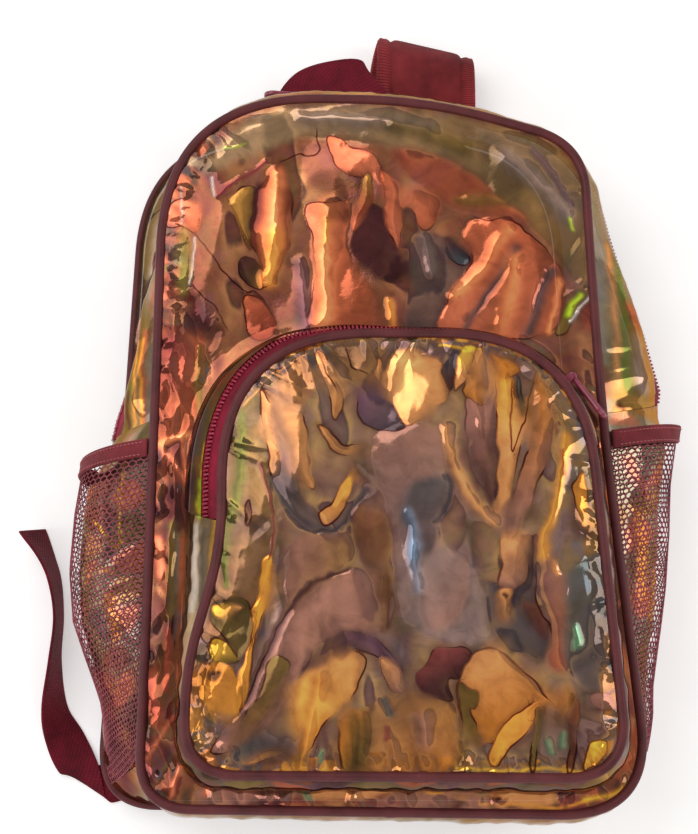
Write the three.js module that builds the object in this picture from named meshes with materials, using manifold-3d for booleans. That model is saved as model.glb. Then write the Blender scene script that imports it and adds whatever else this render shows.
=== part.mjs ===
// A backpack of clear holographic film, lying on its back with its front panel up.
// Millimetres: +X is the right side seen from the front, +Y the top of the bag, +Z up.
import * as THREE from 'three';
import Module from 'manifold-3d';

const wasm = await Module();
wasm.setup();

// Driving dimensions
const ORIGIN = { x: -1.7, y: 22.4 }; // middle of the whole object, in the sewing coordinates used below
const FILM = 1.0;
const GAP = 0.3; // clearance between neighbouring pieces
const PIPING_RADIUS = 2.75;
const PIPING_SIDES = 6;
const FRONT_HEIGHT = 92; // front seam above the floor, at mid length
const FRONT_END_RISE = 6; // how much higher the front seam runs at the bag's two ends
const FRONT_MIDDLE_Y = -13;
const FRONT_HALF_LENGTH = 213;
const BACK_HEIGHT = 13; // back seam above the floor
const BACK_PAD = 4;
const BACK_PAD_FOOT = 7.6; // underside of the padded back above the floor
const POCKET_HEIGHT = 118; // pocket seam above the floor
const POCKET_CROWN = 6; // how far the pocket face bulges
const NET = 1.0;
const BINDING = 2.4;
const BINDING_WIDTH = 11;
const MAIN_ZIP_AT = 0.5; // place of the main zip across the gusset, from back 0 to front 1
const CHAIN_WIDTH = 5.5;
const CHAIN_THICK = 2.6;
const ZIP_TAPE = 11; // visible width of one main zip tape
const STRAP_WIDTH = 66;
const STRAP_THICK = 7;
const STRAP_ROUNDING = 5;
const WEBBING_WIDTH = 25;
const WEBBING_THICK = 1.6;
const TOP_REACH = 15; // outward bow of the gusset at the top and at the bottom
const BOTTOM_REACH = 6;
const SEAM_MARGIN = PIPING_RADIUS + GAP; // from a seam's line to the edge of the film sewn into it
const STRIP_BUTT = 0.35; // gap between the lower gusset and the strips above it, along the seam
const POCKET_BUTT = 6; // gap between the pocket's film wall and its zip, along the seam
const POCKET_WALL_BOW = 3;

// Corners of the seams, counter-clockwise from the bottom right.
// reach is how far a bend runs along each of its two sides.
const FRONT_CORNERS = [
  { x: 167, y: -226, reach: 52 },
  { x: 148, y: 0, reach: 60 },
  { x: 142, y: 169, reach: 30 },
  { x: 48, y: 197, reach: 45 },
  { x: -112, y: 199.5, reach: 96 },
  { x: -116, y: -222, reach: 30 },
];
const BACK_CORNERS = [
  { x: 150, y: -222, reach: 36 },
  { x: 134, y: 208, reach: 80 },
  { x: -134, y: 208, reach: 80 },
  { x: -150, y: -222, reach: 36 },
];
const POCKET_CORNERS = [
  { x: 151.5, y: -206, reach: 36 },
  { x: 133, y: 43, reach: 80 },
  { x: -73, y: 44, reach: 88 },
  { x: -71, y: -80, reach: 28 },
  { x: -89, y: -146, reach: 22 },
  { x: -89.5, y: -204, reach: 30 },
];
const POCKET_BASE_CORNERS = [
  { x: 157, y: -213, reach: 38 },
  { x: 141, y: 50, reach: 84 },
  { x: -92, y: 54, reach: 92 },
  { x: -97, y: -212, reach: 32 },
];

// How far the side gussets bow out beyond the front seam, from the top down.
const SIDE_REACH = [
  { y: 205, left: 4, right: 4 },
  { y: 160, left: 5, right: 8 },
  { y: 110, left: 6, right: 18 },
  { y: 77, left: 14, right: 26 },
  { y: 45, left: 17, right: 35 },
  { y: 10, left: 27, right: 42 },
  { y: -10, left: 31, right: 38 },
  { y: -45, left: 29, right: 29 },
  { y: -80, left: 27, right: 22 },
  { y: -125, left: 20, right: 14 },
  { y: -160, left: 14, right: 6 },
  { y: -200, left: 8, right: 2 },
  { y: -230, left: 5, right: 2 },
];
// How far the net pockets stand off the gusset, from their tops down.
const NET_DEPTH = [
  { y: -2, left: 12, right: 12 },
  { y: -45, left: 20, right: 12 },
  { y: -75, left: 23, right: 13 },
  { y: -105, left: 24, right: 12 },
  { y: -125, left: 19, right: 10 },
  { y: -150, left: 12, right: 8 },
  { y: -175, left: 10, right: 6 },
  { y: -195, left: 0, right: 0 },
];
const NET_TOP = { left: -6, right: -2 };
const NET_BOTTOM = -192;
const NET_CLEAR = 1.6; // net to gusset where the two are sewn together
const NET_EDGES = { net: [0.07, 0.93], binding: [0.09, 0.91] }; // their sewn edges, as shares of the gusset
const NET_STEPS = { along: 9, across: 8 };
const NET_LAP = 4; // how far the lower gusset reaches above the nets

// Ridges and, where the height is negative, dents of the film: a line, its half width and its height.
const FRONT_FOLDS = [
  { x0: 122, y0: 132, x1: 96, y1: 78, width: 16, height: 6 },
  { x0: 140, y0: 92, x1: 112, y1: 66, width: 7, height: 4 },
  { x0: -10, y0: 142, x1: -4, y1: 88, width: 15, height: 5 },
  { x0: -45, y0: 158, x1: -48, y1: 96, width: 12, height: 5 },
  { x0: -86, y0: 136, x1: -88, y1: 80, width: 8, height: 4 },
  { x0: 26, y0: 118, x1: 30, y1: 100, width: 15, height: -5 },
  { x0: 62, y0: 110, x1: 50, y1: 80, width: 13, height: -4 },
  { x0: -70, y0: 168, x1: 70, y1: 172, width: 9, height: 3 },
];
const FRONT_FOLDS_FROM = { y: 62, fade: 18 }; // the film lies flat below this, behind the pocket
const POCKET_FOLDS = [
  { x0: -33, y0: 14, x1: -50, y1: -100, width: 9, height: 4 },
  { x0: -52, y0: -164, x1: 10, y1: -112, width: 14, height: 5 },
  { x0: 38, y0: 22, x1: 40, y1: -10, width: 12, height: 4 },
  { x0: 94, y0: 2, x1: 84, y1: -66, width: 10, height: 5 },
  { x0: 118, y0: -84, x1: 76, y1: -134, width: 10, height: 4 },
  { x0: 42, y0: -60, x1: 46, y1: -108, width: 18, height: -6 },
  { x0: -12, y0: -152, x1: -6, y1: -188, width: 9, height: 4 },
  { x0: 78, y0: -160, x1: 92, y1: -188, width: 9, height: 4 },
  { x0: 4, y0: -20, x1: -12, y1: -74, width: 12, height: -4 },
];
const GATHER = { pitch: 44, depth: 1.2, band: 0.12 }; // ripples where the film is sewn to the piping
const PANEL_RINGS = [1, 0.94, 0.82, 0.66, 0.48, 0.28]; // rings of a film panel, as shares of its outline
const FRONT_CENTRE = new THREE.Vector2(17, 10); // the points that the panels' rings close on
const POCKET_CENTRE = new THREE.Vector2(33, -82);
const BACK_CENTRE = new THREE.Vector2(0, 0);

// The pocket zip: stretches along the pocket seam, outward stand-off and height of its chain.
const POCKET_ZIP = { from: 0.24, to: 0.609, height: 106 };
const POCKET_ZIP_OUT = [
  { along: 0.24, out: 4 },
  { along: 0.4, out: 5 },
  { along: 0.46, out: 8 },
  { along: 0.52, out: 14 },
  { along: 0.609, out: 14 },
];

// Stations of the straps: centre, direction of the width in plan, share of the full width and thickness.
const RIGHT_STRAP = [
  { x: 51, y: 211.3, z: 13, plan: 0, wide: 1, thick: 0.5 },
  { x: 51, y: 232, z: 21, plan: -2, wide: 1, thick: 1 },
  { x: 51, y: 256, z: 24.5, plan: -10, wide: 1, thick: 1 },
  { x: 51, y: 266, z: 13.5, plan: -15, wide: 1, thick: 1 },
  { x: 47, y: 252, z: 4.2, plan: -10, wide: 1, thick: 1 },
  { x: 46, y: 225, z: 3.5, plan: -3, wide: 1, thick: 1 },
  { x: 48, y: 120, z: 3.5, plan: 2, wide: 1, thick: 1 },
  { x: 56, y: 40, z: 3.5, plan: 5, wide: 0.96, thick: 1 },
  { x: 61, y: 4, z: 3.5, plan: 8, wide: 0.8, thick: 1 },
  { x: 63.6, y: -24, z: 3.5, plan: 12, wide: 0.46, thick: 1 },
];
const LEFT_STRAP = [
  { x: -44, y: 211.3, z: 13, plan: 0, wide: 1, thick: 0.5 },
  { x: -44, y: 216, z: 14.2, plan: 0, wide: 1, thick: 0.7 },
  { x: -44, y: 221, z: 9.2, plan: 0, wide: 1, thick: 0.8 },
  { x: -44, y: 214, z: 3.6, plan: 0, wide: 1, thick: 1 },
  { x: -44, y: 198, z: 3.5, plan: 0, wide: 1, thick: 1 },
  { x: -50, y: 100, z: 3.5, plan: -2, wide: 1, thick: 1 },
  { x: -60, y: 15, z: 3.5, plan: -7, wide: 1, thick: 1 },
  { x: -74, y: -70, z: 3.5, plan: -13, wide: 0.92, thick: 1 },
  { x: -84, y: -106, z: 3.5, plan: -17, wide: 0.76, thick: 1 },
  { x: -92, y: -130, z: 3.5, plan: -24, wide: 0.46, thick: 1 },
];
// Stations of the webbing: plan is the direction of the width, lean its tilt, stretch its length at a fold.
const LEFT_WEBBING = [
  { x: -141, y: -191, z: 6.2, plan: 135, lean: 0, stretch: 1 },
  { x: -122, y: -174, z: 6.2, plan: 138, lean: 0, stretch: 1 },
  { turn: 'left_buckle' },
  { x: -114, y: -171, z: 0.8, plan: 152, lean: 0, stretch: 1 },
  { x: -123, y: -189, z: 0.8, plan: 150, lean: 0, stretch: 1 },
  { x: -132, y: -202, z: 0.8, plan: 132, lean: 0, stretch: 1 },
  { x: -147, y: -209, z: 0.8, plan: 114, lean: 0, stretch: 1 },
  { x: -160, y: -210, z: 1.9, plan: 146, lean: 0, stretch: 1.25 },
  { x: -165, y: -201, z: 3.2, plan: 196, lean: 0, stretch: 1 },
  { x: -174, y: -183, z: 5, plan: 206, lean: 18, stretch: 1 },
  { x: -180, y: -166, z: 10.9, plan: 198, lean: 58, stretch: 1 },
  { x: -181, y: -136, z: 12.5, plan: 182, lean: 86, stretch: 1 },
  { x: -180, y: -108, z: 12.5, plan: 176, lean: 89, stretch: 1 },
  { x: -184, y: -84, z: 12.4, plan: 190, lean: 80, stretch: 1 },
  { x: -190, y: -70, z: 12.3, plan: 200, lean: 75, stretch: 1 },
  { x: -199, y: -54.5, z: 10.9, plan: 200, lean: 56, stretch: 1 },
];
const RIGHT_WEBBING = [
  { x: 141, y: -191, z: 6.2, plan: 206, lean: 0, stretch: 1 },
  { x: 122, y: -150, z: 4, plan: 206, lean: 0, stretch: 1 },
  { x: 92, y: -92, z: 4, plan: 204, lean: 0, stretch: 1 },
  { turn: 'right_buckle' },
  { x: 92, y: -92, z: 0.8, plan: 204, lean: 0, stretch: 1 },
  { x: 116, y: -140, z: 0.8, plan: 206, lean: 0, stretch: 1 },
];
const HAUL_LOOP = [
  { x: -38, y: 212, z: 22, plan: 0, lean: 0, stretch: 1 },
  { x: -37, y: 226, z: 27, plan: -12, lean: 0, stretch: 1 },
  { x: -27, y: 238, z: 31, plan: -48, lean: 0, stretch: 1 },
  { x: -6, y: 243.5, z: 32.5, plan: -80, lean: 0, stretch: 1 },
  { x: 9, y: 243, z: 33, plan: -94, lean: 0, stretch: 1 },
  { x: 21, y: 237.5, z: 31.6, plan: -42, lean: 0, stretch: 1.35 },
  { x: 22, y: 227, z: 29.6, plan: -4, lean: 0, stretch: 1 },
  { x: 26, y: 212, z: 22, plan: 0, lean: 0, stretch: 1 },
];

// The ladder locks: where the webbing turns through each, and which way it leads.
const BUCKLES = [
  { name: 'left_buckle', x: -100, y: -145.7, heading: 240 },
  { name: 'right_buckle', x: 68.6, y: -41.7, heading: 290 },
];
const BUCKLE = { foot: 2, thick: 3, wide: 33, nose: 6.4, tail: -12 };
// How the webbing turns round the first bar: ahead of the slot, and above the floor.
const BUCKLE_TURN = [
  { ahead: 10, z: 6.3 },
  { ahead: 4, z: 6.4 },
  { ahead: 0.2, z: 3.5 },
  { ahead: 4, z: 0.8 },
  { ahead: 10, z: 0.8 },
];
const BUCKLE_SLOTS = [
  { from: -2.2, to: 3.4, half: 13.5 },
  { from: -9.2, to: -5.2, half: 13 },
];
const LABEL = { x: -10, y: 158, wide: 30, tall: 21, thick: 0.8 };

// Zip slider and pull, in the chain's own directions: x along it, y across it, z out of it.
const SLIDER = { length: 10, half: 4.5, top: 2.9, lip: 0.9, channel: 3.15, roof: 1.65, chamfer: 0.6 };
const PIN = { height: 6, radius: 0.9, half: 3.5, ear: 1.0, earRadius: 1.7, earFoot: 2.6, sunk: 0.4 };
const PULL = { eye: 1.35, ring: 2.6, neck: 2.1, thick: 1.8, shoulder: 9, length: 31, half: 6.5, lap: 0.5 };
const PIN_SIDES = 10;
const POCKET_SLIDER_AT = { x: 122, y: 18 }; // the sliders sit on the chain's stretch nearest these points
const MAIN_SLIDER_AT = { x: -12, y: 215 };

const FINISHES = {
  film: { color: 0xc08a4a, roughness: 0.15, metalness: 0.4 },
  piping: { color: 0x6e3a36, roughness: 0.5, metalness: 0 },
  tape: { color: 0x8e1f38, roughness: 0.8, metalness: 0 },
  teeth: { color: 0x9a1f3c, roughness: 0.4, metalness: 0 },
  net: { color: 0x9a4a5c, roughness: 0.8, metalness: 0 },
  webbing: { color: 0x74202f, roughness: 0.85, metalness: 0 },
  pad: { color: 0x7c2a38, roughness: 0.9, metalness: 0 },
  label: { color: 0x2c2a30, roughness: 0.7, metalness: 0 },
};

const FULL_TURN = Math.PI * 2;
const bag = new THREE.Group();
bag.position.set(-ORIGIN.x, -ORIGIN.y, 0);

// Closed solids from points and triangles

function addMesh(parent, name, finish, geometry) {
  geometry.computeVertexNormals();
  const mesh = new THREE.Mesh(geometry, new THREE.MeshStandardMaterial(FINISHES[finish]));
  mesh.name = name;
  parent.add(mesh);
  return mesh;
}

function geometryOf(points, triangles) {
  let volume = 0;
  for (const [a, b, c] of triangles) {
    volume += points[a].dot(points[b].clone().cross(points[c]));
  }
  const facing = volume > 0 ? triangles : triangles.map(([a, b, c]) => [a, c, b]);
  const numbers = points.flatMap((point) => point.toArray());
  const geometry = new THREE.BufferGeometry();
  geometry.setAttribute('position', new THREE.Float32BufferAttribute(numbers, 3));
  geometry.setIndex(facing.flat());
  return geometry;
}

function quad(a, b, c, d) {
  return [[a, b, c], [a, c, d]];
}

// A film wall: stations along the sheet, each a row of points on its middle surface.
function sheet(rows, thickness) {
  const count = rows.length;
  const across = rows[0].length;
  const points = [];
  for (const side of [0.5, -0.5]) {
    for (let i = 0; i < count; i += 1) {
      for (let j = 0; j < across; j += 1) {
        const along = rows[Math.min(i + 1, count - 1)][j].clone().sub(rows[Math.max(i - 1, 0)][j]);
        const over = rows[i][Math.min(j + 1, across - 1)].clone().sub(rows[i][Math.max(j - 1, 0)]);
        const normal = along.cross(over).normalize();
        points.push(rows[i][j].clone().addScaledVector(normal, side * thickness));
      }
    }
  }
  const at = (i, j, side) => side * count * across + i * across + j;
  const triangles = [];
  for (let i = 0; i + 1 < count; i += 1) {
    for (let j = 0; j + 1 < across; j += 1) {
      triangles.push(...quad(at(i, j, 0), at(i + 1, j, 0), at(i + 1, j + 1, 0), at(i, j + 1, 0)));
      triangles.push(...quad(at(i, j, 1), at(i, j + 1, 1), at(i + 1, j + 1, 1), at(i + 1, j, 1)));
    }
  }
  for (let i = 0; i + 1 < count; i += 1) {
    triangles.push(...quad(at(i, 0, 0), at(i, 0, 1), at(i + 1, 0, 1), at(i + 1, 0, 0)));
    const last = across - 1;
    triangles.push(...quad(at(i, last, 0), at(i + 1, last, 0), at(i + 1, last, 1), at(i, last, 1)));
  }
  for (let j = 0; j + 1 < across; j += 1) {
    triangles.push(...quad(at(0, j, 0), at(0, j + 1, 0), at(0, j + 1, 1), at(0, j, 1)));
    const last = count - 1;
    triangles.push(...quad(at(last, j, 0), at(last, j, 1), at(last, j + 1, 1), at(last, j + 1, 0)));
  }
  return geometryOf(points, triangles);
}

// A level panel inside a rim: rings shrink towards the middle, and height gives the middle surface.
function panel(rim, middle, shares, height, thickness) {
  const count = rim.length;
  const points = [];
  for (const side of [0.5, -0.5]) {
    const place = (flat, share, edge) =>
      new THREE.Vector3(flat.x, flat.y, height(flat.x, flat.y, share, edge) + side * thickness);
    for (const share of shares) {
      points.push(...rim.map((edge) => place(middle.clone().lerp(edge, share), share, edge)));
    }
    points.push(place(middle, 0, middle));
  }
  const layer = shares.length * count + 1;
  const at = (ring, i, side) => side * layer + ring * count + (i % count);
  const triangles = [];
  for (let i = 0; i < count; i += 1) {
    for (let ring = 0; ring + 1 < shares.length; ring += 1) {
      const next = ring + 1;
      triangles.push(...quad(at(ring, i, 0), at(ring, i + 1, 0), at(next, i + 1, 0), at(next, i, 0)));
      triangles.push(...quad(at(ring, i, 1), at(next, i, 1), at(next, i + 1, 1), at(ring, i + 1, 1)));
    }
    const inner = shares.length - 1;
    triangles.push([at(inner, i, 0), at(inner, i + 1, 0), layer - 1]);
    triangles.push([at(inner, i + 1, 1), at(inner, i, 1), 2 * layer - 1]);
    triangles.push(...quad(at(0, i, 0), at(0, i, 1), at(0, i + 1, 1), at(0, i + 1, 0)));
  }
  return geometryOf(points, triangles);
}

// A section carried along stations, each with a centre and the directions across and up.
function sweep(stations, section, closed) {
  const sides = section.length;
  const count = stations.length;
  const points = stations.flatMap((station) =>
    section.map(({ a, b }) =>
      station.centre
        .clone()
        .addScaledVector(station.across, a * (station.wide ?? 1))
        .addScaledVector(station.up, b * (station.thick ?? 1)),
    ),
  );
  const at = (i, k) => (i % count) * sides + (k % sides);
  const triangles = [];
  const spans = closed ? count : count - 1;
  for (let i = 0; i < spans; i += 1) {
    for (let k = 0; k < sides; k += 1) {
      triangles.push(...quad(at(i, k), at(i, k + 1), at(i + 1, k + 1), at(i + 1, k)));
    }
  }
  if (!closed) {
    for (let k = 1; k + 1 < sides; k += 1) {
      triangles.push([at(0, 0), at(0, k + 1), at(0, k)]);
      triangles.push([at(count - 1, 0), at(count - 1, k), at(count - 1, k + 1)]);
    }
  }
  return geometryOf(points, triangles);
}

function rectangle(width, thickness) {
  const a = width / 2;
  const b = thickness / 2;
  return [{ a: -a, b: -b }, { a, b: -b }, { a, b }, { a: -a, b }];
}

function roundSection(radius, sides) {
  return Array.from({ length: sides }, (_, k) => {
    const angle = (FULL_TURN * k) / sides;
    return { a: radius * Math.cos(angle), b: radius * Math.sin(angle) };
  });
}

function padSection(width, thickness, rounding) {
  const a = width / 2;
  const b = thickness / 2;
  return [
    { a: -a + rounding, b: -b }, { a: a - rounding, b: -b }, { a, b: -b / 2 }, { a, b: b / 2 },
    { a: a - rounding, b }, { a: -a + rounding, b }, { a: -a, b: b / 2 }, { a: -a, b: -b / 2 },
  ];
}

// Tables

function lookUp(rows, key, column, value) {
  const falling = rows[0][key] > rows[rows.length - 1][key];
  const sorted = falling ? [...rows].reverse() : rows;
  const next = sorted.findIndex((row) => row[key] >= value);
  if (next === 0) return sorted[0][column];
  if (next < 0) return sorted[sorted.length - 1][column];
  const [low, high] = [sorted[next - 1], sorted[next]];
  return THREE.MathUtils.mapLinear(value, low[key], high[key], low[column], high[column]);
}

function foldHeight(folds, x, y) {
  const here = new THREE.Vector3(x, y, 0);
  const nearest = new THREE.Vector3();
  let sum = 0;
  for (const { x0, y0, x1, y1, width, height } of folds) {
    const line = new THREE.Line3(new THREE.Vector3(x0, y0, 0), new THREE.Vector3(x1, y1, 0));
    const away = line.closestPointToPoint(here, true, nearest).distanceTo(here);
    sum += height * Math.exp(-((away / width) ** 2));
  }
  return sum;
}

// Seam outlines

const BEND_STEP = 15; // degrees of turn, and millimetres of straight, for each step along a seam
const STRAIGHT_STEP = 21;

function outline(corners) {
  const path = new THREE.CurvePath();
  const steps = [];
  const at = corners.map(({ x, y }) => new THREE.Vector2(x, y));
  const towards = (from, to, reach) => from.clone().lerp(to, reach / from.distanceTo(to));
  corners.forEach(({ reach }, i) => {
    const before = at[(i + at.length - 1) % at.length];
    const after = at[(i + 1) % at.length];
    const turn = Math.abs(at[i].clone().sub(before).angleTo(after.clone().sub(at[i])));
    const leave = towards(at[i], after, reach);
    path.add(new THREE.QuadraticBezierCurve(towards(at[i], before, reach), at[i], leave));
    steps.push(Math.max(3, Math.round(THREE.MathUtils.radToDeg(turn) / BEND_STEP)));
    const enter = towards(after, at[i], corners[(i + 1) % at.length].reach);
    path.add(new THREE.LineCurve(leave, enter));
    steps.push(Math.max(1, Math.round(leave.distanceTo(enter) / STRAIGHT_STEP)));
  });
  const lengths = path.getCurveLengths();
  const whole = lengths[lengths.length - 1];
  const stops = steps.flatMap((count, i) => {
    const start = i ? lengths[i - 1] : 0;
    return Array.from({ length: count }, (_, k) => (start + ((lengths[i] - start) * k) / count) / whole);
  });
  return { path, stops };
}

const NEAR = 0.0005; // small step along a seam, for its direction

function onSeam(seam, along, height) {
  const share = ((along % 1) + 1) % 1;
  const point = seam.path.getPoint(share);
  const ahead = seam.path.getPoint((share + NEAR) % 1);
  const behind = seam.path.getPoint((share + 1 - NEAR) % 1);
  const tangent = ahead.sub(behind).normalize();
  return {
    point: new THREE.Vector3(point.x, point.y, height(point.x, point.y)),
    out: new THREE.Vector3(tangent.y, -tangent.x, 0),
  };
}

function frontSeamHeight(x, y) {
  return FRONT_HEIGHT + FRONT_END_RISE * ((y - FRONT_MIDDLE_Y) / FRONT_HALF_LENGTH) ** 2;
}

const frontSeam = outline(FRONT_CORNERS);
const backSeam = outline(BACK_CORNERS);
const pocketSeam = outline(POCKET_CORNERS);
const pocketBase = outline(POCKET_BASE_CORNERS);
const onFront = (along) => onSeam(frontSeam, along, frontSeamHeight);
const onBack = (along) => onSeam(backSeam, along, () => BACK_HEIGHT);
const onPocket = (along) => onSeam(pocketSeam, along, () => POCKET_HEIGHT);

// Stops along a seam between two places, with both ends.
function between(stops, from, to) {
  const near = 0.004;
  const wrapped = [...stops, ...stops.map((stop) => stop + 1)];
  return [from, ...wrapped.filter((stop) => stop > from + near && stop < to - near), to];
}

function evenly(from, to, steps) {
  return Array.from({ length: steps + 1 }, (_, i) => THREE.MathUtils.lerp(from, to, i / steps));
}

const SIDE_SPAN = { right: [0.02, 0.32], left: [0.5, 0.84] }; // stretch of the front seam that is each side
const HALVINGS = 40;

// The place along the front seam where its left or right side reaches a given y.
function sideAt(side, y) {
  const rising = side === 'right';
  let [low, high] = SIDE_SPAN[side];
  for (let i = 0; i < HALVINGS; i += 1) {
    const middle = (low + high) / 2;
    const below = onFront(middle).point.y < y;
    if (below === rising) low = middle;
    else high = middle;
  }
  return low;
}

function piping(name, stops, place) {
  const stations = stops.map((stop) => {
    const { point, out } = place(stop);
    return { centre: point, across: out, up: new THREE.Vector3(0, 0, 1) };
  });
  addMesh(bag, name, 'piping', sweep(stations, roundSection(PIPING_RADIUS, PIPING_SIDES), true));
}

function insideRim(stops, place) {
  return stops.map((stop) => {
    const { point, out } = place(stop);
    const inward = new THREE.Vector2(-out.x, -out.y);
    return new THREE.Vector2(point.x, point.y).addScaledVector(inward, SEAM_MARGIN);
  });
}

// Panels

// How far the front film's folds show: not behind the pocket, and in full above it.
function foldsShown(y) {
  return THREE.MathUtils.smoothstep(y, FRONT_FOLDS_FROM.y, FRONT_FOLDS_FROM.y + FRONT_FOLDS_FROM.fade);
}

function frontHeight(x, y) {
  return frontSeamHeight(x, y) + foldsShown(y) * foldHeight(FRONT_FOLDS, x, y);
}

// Folds die away towards the sewn edge, where short gathers take over.
function edgeFade(share) {
  return 1 - THREE.MathUtils.smoothstep(share, 1 - 2 * GATHER.band, 1);
}

function gatherAt(share, edge) {
  if (share >= 1) return 0;
  const ripple = Math.cos((FULL_TURN * (edge.x + edge.y)) / GATHER.pitch);
  const away = 1 - GATHER.band / 2 - share;
  return GATHER.depth * ripple * Math.exp(-((away / GATHER.band) ** 2));
}

function buildPanels() {
  const frontRim = insideRim(frontSeam.stops, onFront);
  const front = (x, y, share, edge) => {
    const folds = (frontHeight(x, y) - frontSeamHeight(x, y)) * edgeFade(share);
    const gathers = foldsShown(y) === 1 ? gatherAt(share, edge) : 0;
    return frontSeamHeight(x, y) + folds + gathers;
  };
  addMesh(bag, 'front_panel', 'film', panel(frontRim, FRONT_CENTRE, PANEL_RINGS, front, FILM));

  const pocketRim = insideRim(pocketSeam.stops, onPocket);
  const pocket = (x, y, share, edge) => {
    const folds = foldHeight(POCKET_FOLDS, x, y) * edgeFade(share);
    return POCKET_HEIGHT + POCKET_CROWN * (1 - share ** 2) + folds + gatherAt(share, edge);
  };
  addMesh(bag, 'pocket_front', 'film', panel(pocketRim, POCKET_CENTRE, PANEL_RINGS, pocket, FILM));

  const backRim = insideRim(frontSeam.stops, onBack);
  const back = () => BACK_PAD_FOOT + BACK_PAD / 2;
  addMesh(bag, 'back_panel', 'pad', panel(backRim, BACK_CENTRE, [1], back, BACK_PAD));
  const label = new THREE.BoxGeometry(LABEL.wide, LABEL.tall, LABEL.thick);
  const labelMiddle = BACK_PAD_FOOT + BACK_PAD + GAP + LABEL.thick / 2;
  addMesh(bag, 'inside_label', 'label', label).position.set(LABEL.x, LABEL.y, labelMiddle);
}

// Gusset between the back seam and the front seam

function gussetReach(front) {
  const side = lookUp(SIDE_REACH, 'y', front.out.x > 0 ? 'right' : 'left', front.point.y);
  return side * front.out.x ** 2 + (front.out.y > 0 ? TOP_REACH : BOTTOM_REACH) * front.out.y ** 2;
}

// across runs from the back seam 0 to the front seam 1
function gussetCurve(along) {
  const front = onFront(along);
  const back = onBack(along).point;
  const chord = front.point.clone().sub(back);
  const bow = 4 * (gussetReach(front) + chord.dot(front.out) / 2);
  const point = (across) =>
    back.clone().addScaledVector(chord, across).addScaledVector(front.out, bow * across * (1 - across));
  const pace = (across) => chord.clone().addScaledVector(front.out, bow * (1 - 2 * across)).length();
  return { point, pace };
}

function gussetNormal(along, across) {
  const step = 0.004;
  const down = gussetCurve(along).point(across + step).sub(gussetCurve(along).point(across - step));
  const round = gussetCurve(along + step).point(across).sub(gussetCurve(along - step).point(across));
  return round.cross(down).normalize();
}

function gussetStrip(name, finish, stops, limits, steps) {
  const rows = stops.map((stop) => {
    const curve = gussetCurve(stop);
    const [from, to] = limits(curve);
    return evenly(from, to, steps).map((across) => curve.point(across));
  });
  addMesh(bag, name, finish, sheet(rows, FILM));
}

const backEdge = (curve) => (SEAM_MARGIN + GAP) / curve.pace(0);
const frontEdge = (curve) => 1 - SEAM_MARGIN / curve.pace(1);
const fromZip = (curve, distance) => MAIN_ZIP_AT + distance / curve.pace(MAIN_ZIP_AT);

function buildGusset() {
  const rightEnd = sideAt('right', NET_TOP.right + NET_LAP);
  const leftEnd = sideAt('left', NET_TOP.left + NET_LAP);
  const butt = STRIP_BUTT / frontSeam.path.getLength();
  const upper = between(frontSeam.stops, rightEnd + butt, leftEnd - butt);
  const lower = between(frontSeam.stops, leftEnd, rightEnd + 1);
  gussetStrip('gusset_lower', 'film', lower, (c) => [backEdge(c), frontEdge(c)], 5);

  const chain = CHAIN_WIDTH / 2 + 1.5 * GAP;
  const tape = chain + ZIP_TAPE;
  gussetStrip('gusset_upper_back', 'film', upper, (c) => [backEdge(c), fromZip(c, -tape - GAP)], 2);
  gussetStrip('main_zip_tape_back', 'tape', upper, (c) => [fromZip(c, -tape), fromZip(c, -chain)], 1);
  gussetStrip('main_zip_tape_front', 'tape', upper, (c) => [fromZip(c, chain), fromZip(c, tape)], 1);
  gussetStrip('gusset_upper_front', 'film', upper, (c) => [fromZip(c, tape + GAP), frontEdge(c)], 2);
  const stations = upper.map((stop) => {
    const curve = gussetCurve(stop);
    const across = curve.point(MAIN_ZIP_AT + NEAR).sub(curve.point(MAIN_ZIP_AT - NEAR)).normalize();
    return { centre: curve.point(MAIN_ZIP_AT), across, up: gussetNormal(stop, MAIN_ZIP_AT) };
  });
  addMesh(bag, 'main_zip_chain', 'teeth', sweep(stations, rectangle(CHAIN_WIDTH, CHAIN_THICK), false));
  return stations;
}

// Net side pockets

// share runs over the net from its back edge 0 to its front edge 1, both of which lie on the gusset.
function netPoint(side, along, [back, front], share, clear) {
  const depth = lookUp(NET_DEPTH, 'y', side, onFront(along).point.y);
  const off = clear + depth * Math.sin(Math.PI * share);
  const across = THREE.MathUtils.lerp(back, front, share);
  return gussetCurve(along).point(across).addScaledVector(gussetNormal(along, across), off);
}

function buildNetPocket(side) {
  const top = NET_TOP[side];
  const grid = (fromY, toY, steps, edges, clear) =>
    evenly(sideAt(side, fromY), sideAt(side, toY), steps).map((along) =>
      evenly(0, 1, NET_STEPS.across).map((share) => netPoint(side, along, edges, share, clear)),
    );
  const net = grid(NET_BOTTOM, top - BINDING_WIDTH - GAP, NET_STEPS.along, NET_EDGES.net, NET_CLEAR);
  addMesh(bag, `${side}_mesh_pocket`, 'net', sheet(net, NET));
  const bindingClear = NET_CLEAR + (BINDING - NET) / 2;
  const binding = grid(top - BINDING_WIDTH, top, 1, NET_EDGES.binding, bindingClear);
  addMesh(bag, `${side}_mesh_binding`, 'tape', sheet(binding, BINDING));
}

// Front pocket walls and zip

function pocketSection(along) {
  const seam = onPocket(along);
  const base = onSeam(pocketBase, along, (x, y) => frontHeight(x, y) + FILM + GAP).point;
  return { seam, base };
}

// The point just clear of the pocket's piping, on the way to a target.
function belowPiping({ seam }, target) {
  return seam.point.clone().lerp(target, (SEAM_MARGIN + GAP) / seam.point.distanceTo(target));
}

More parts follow.
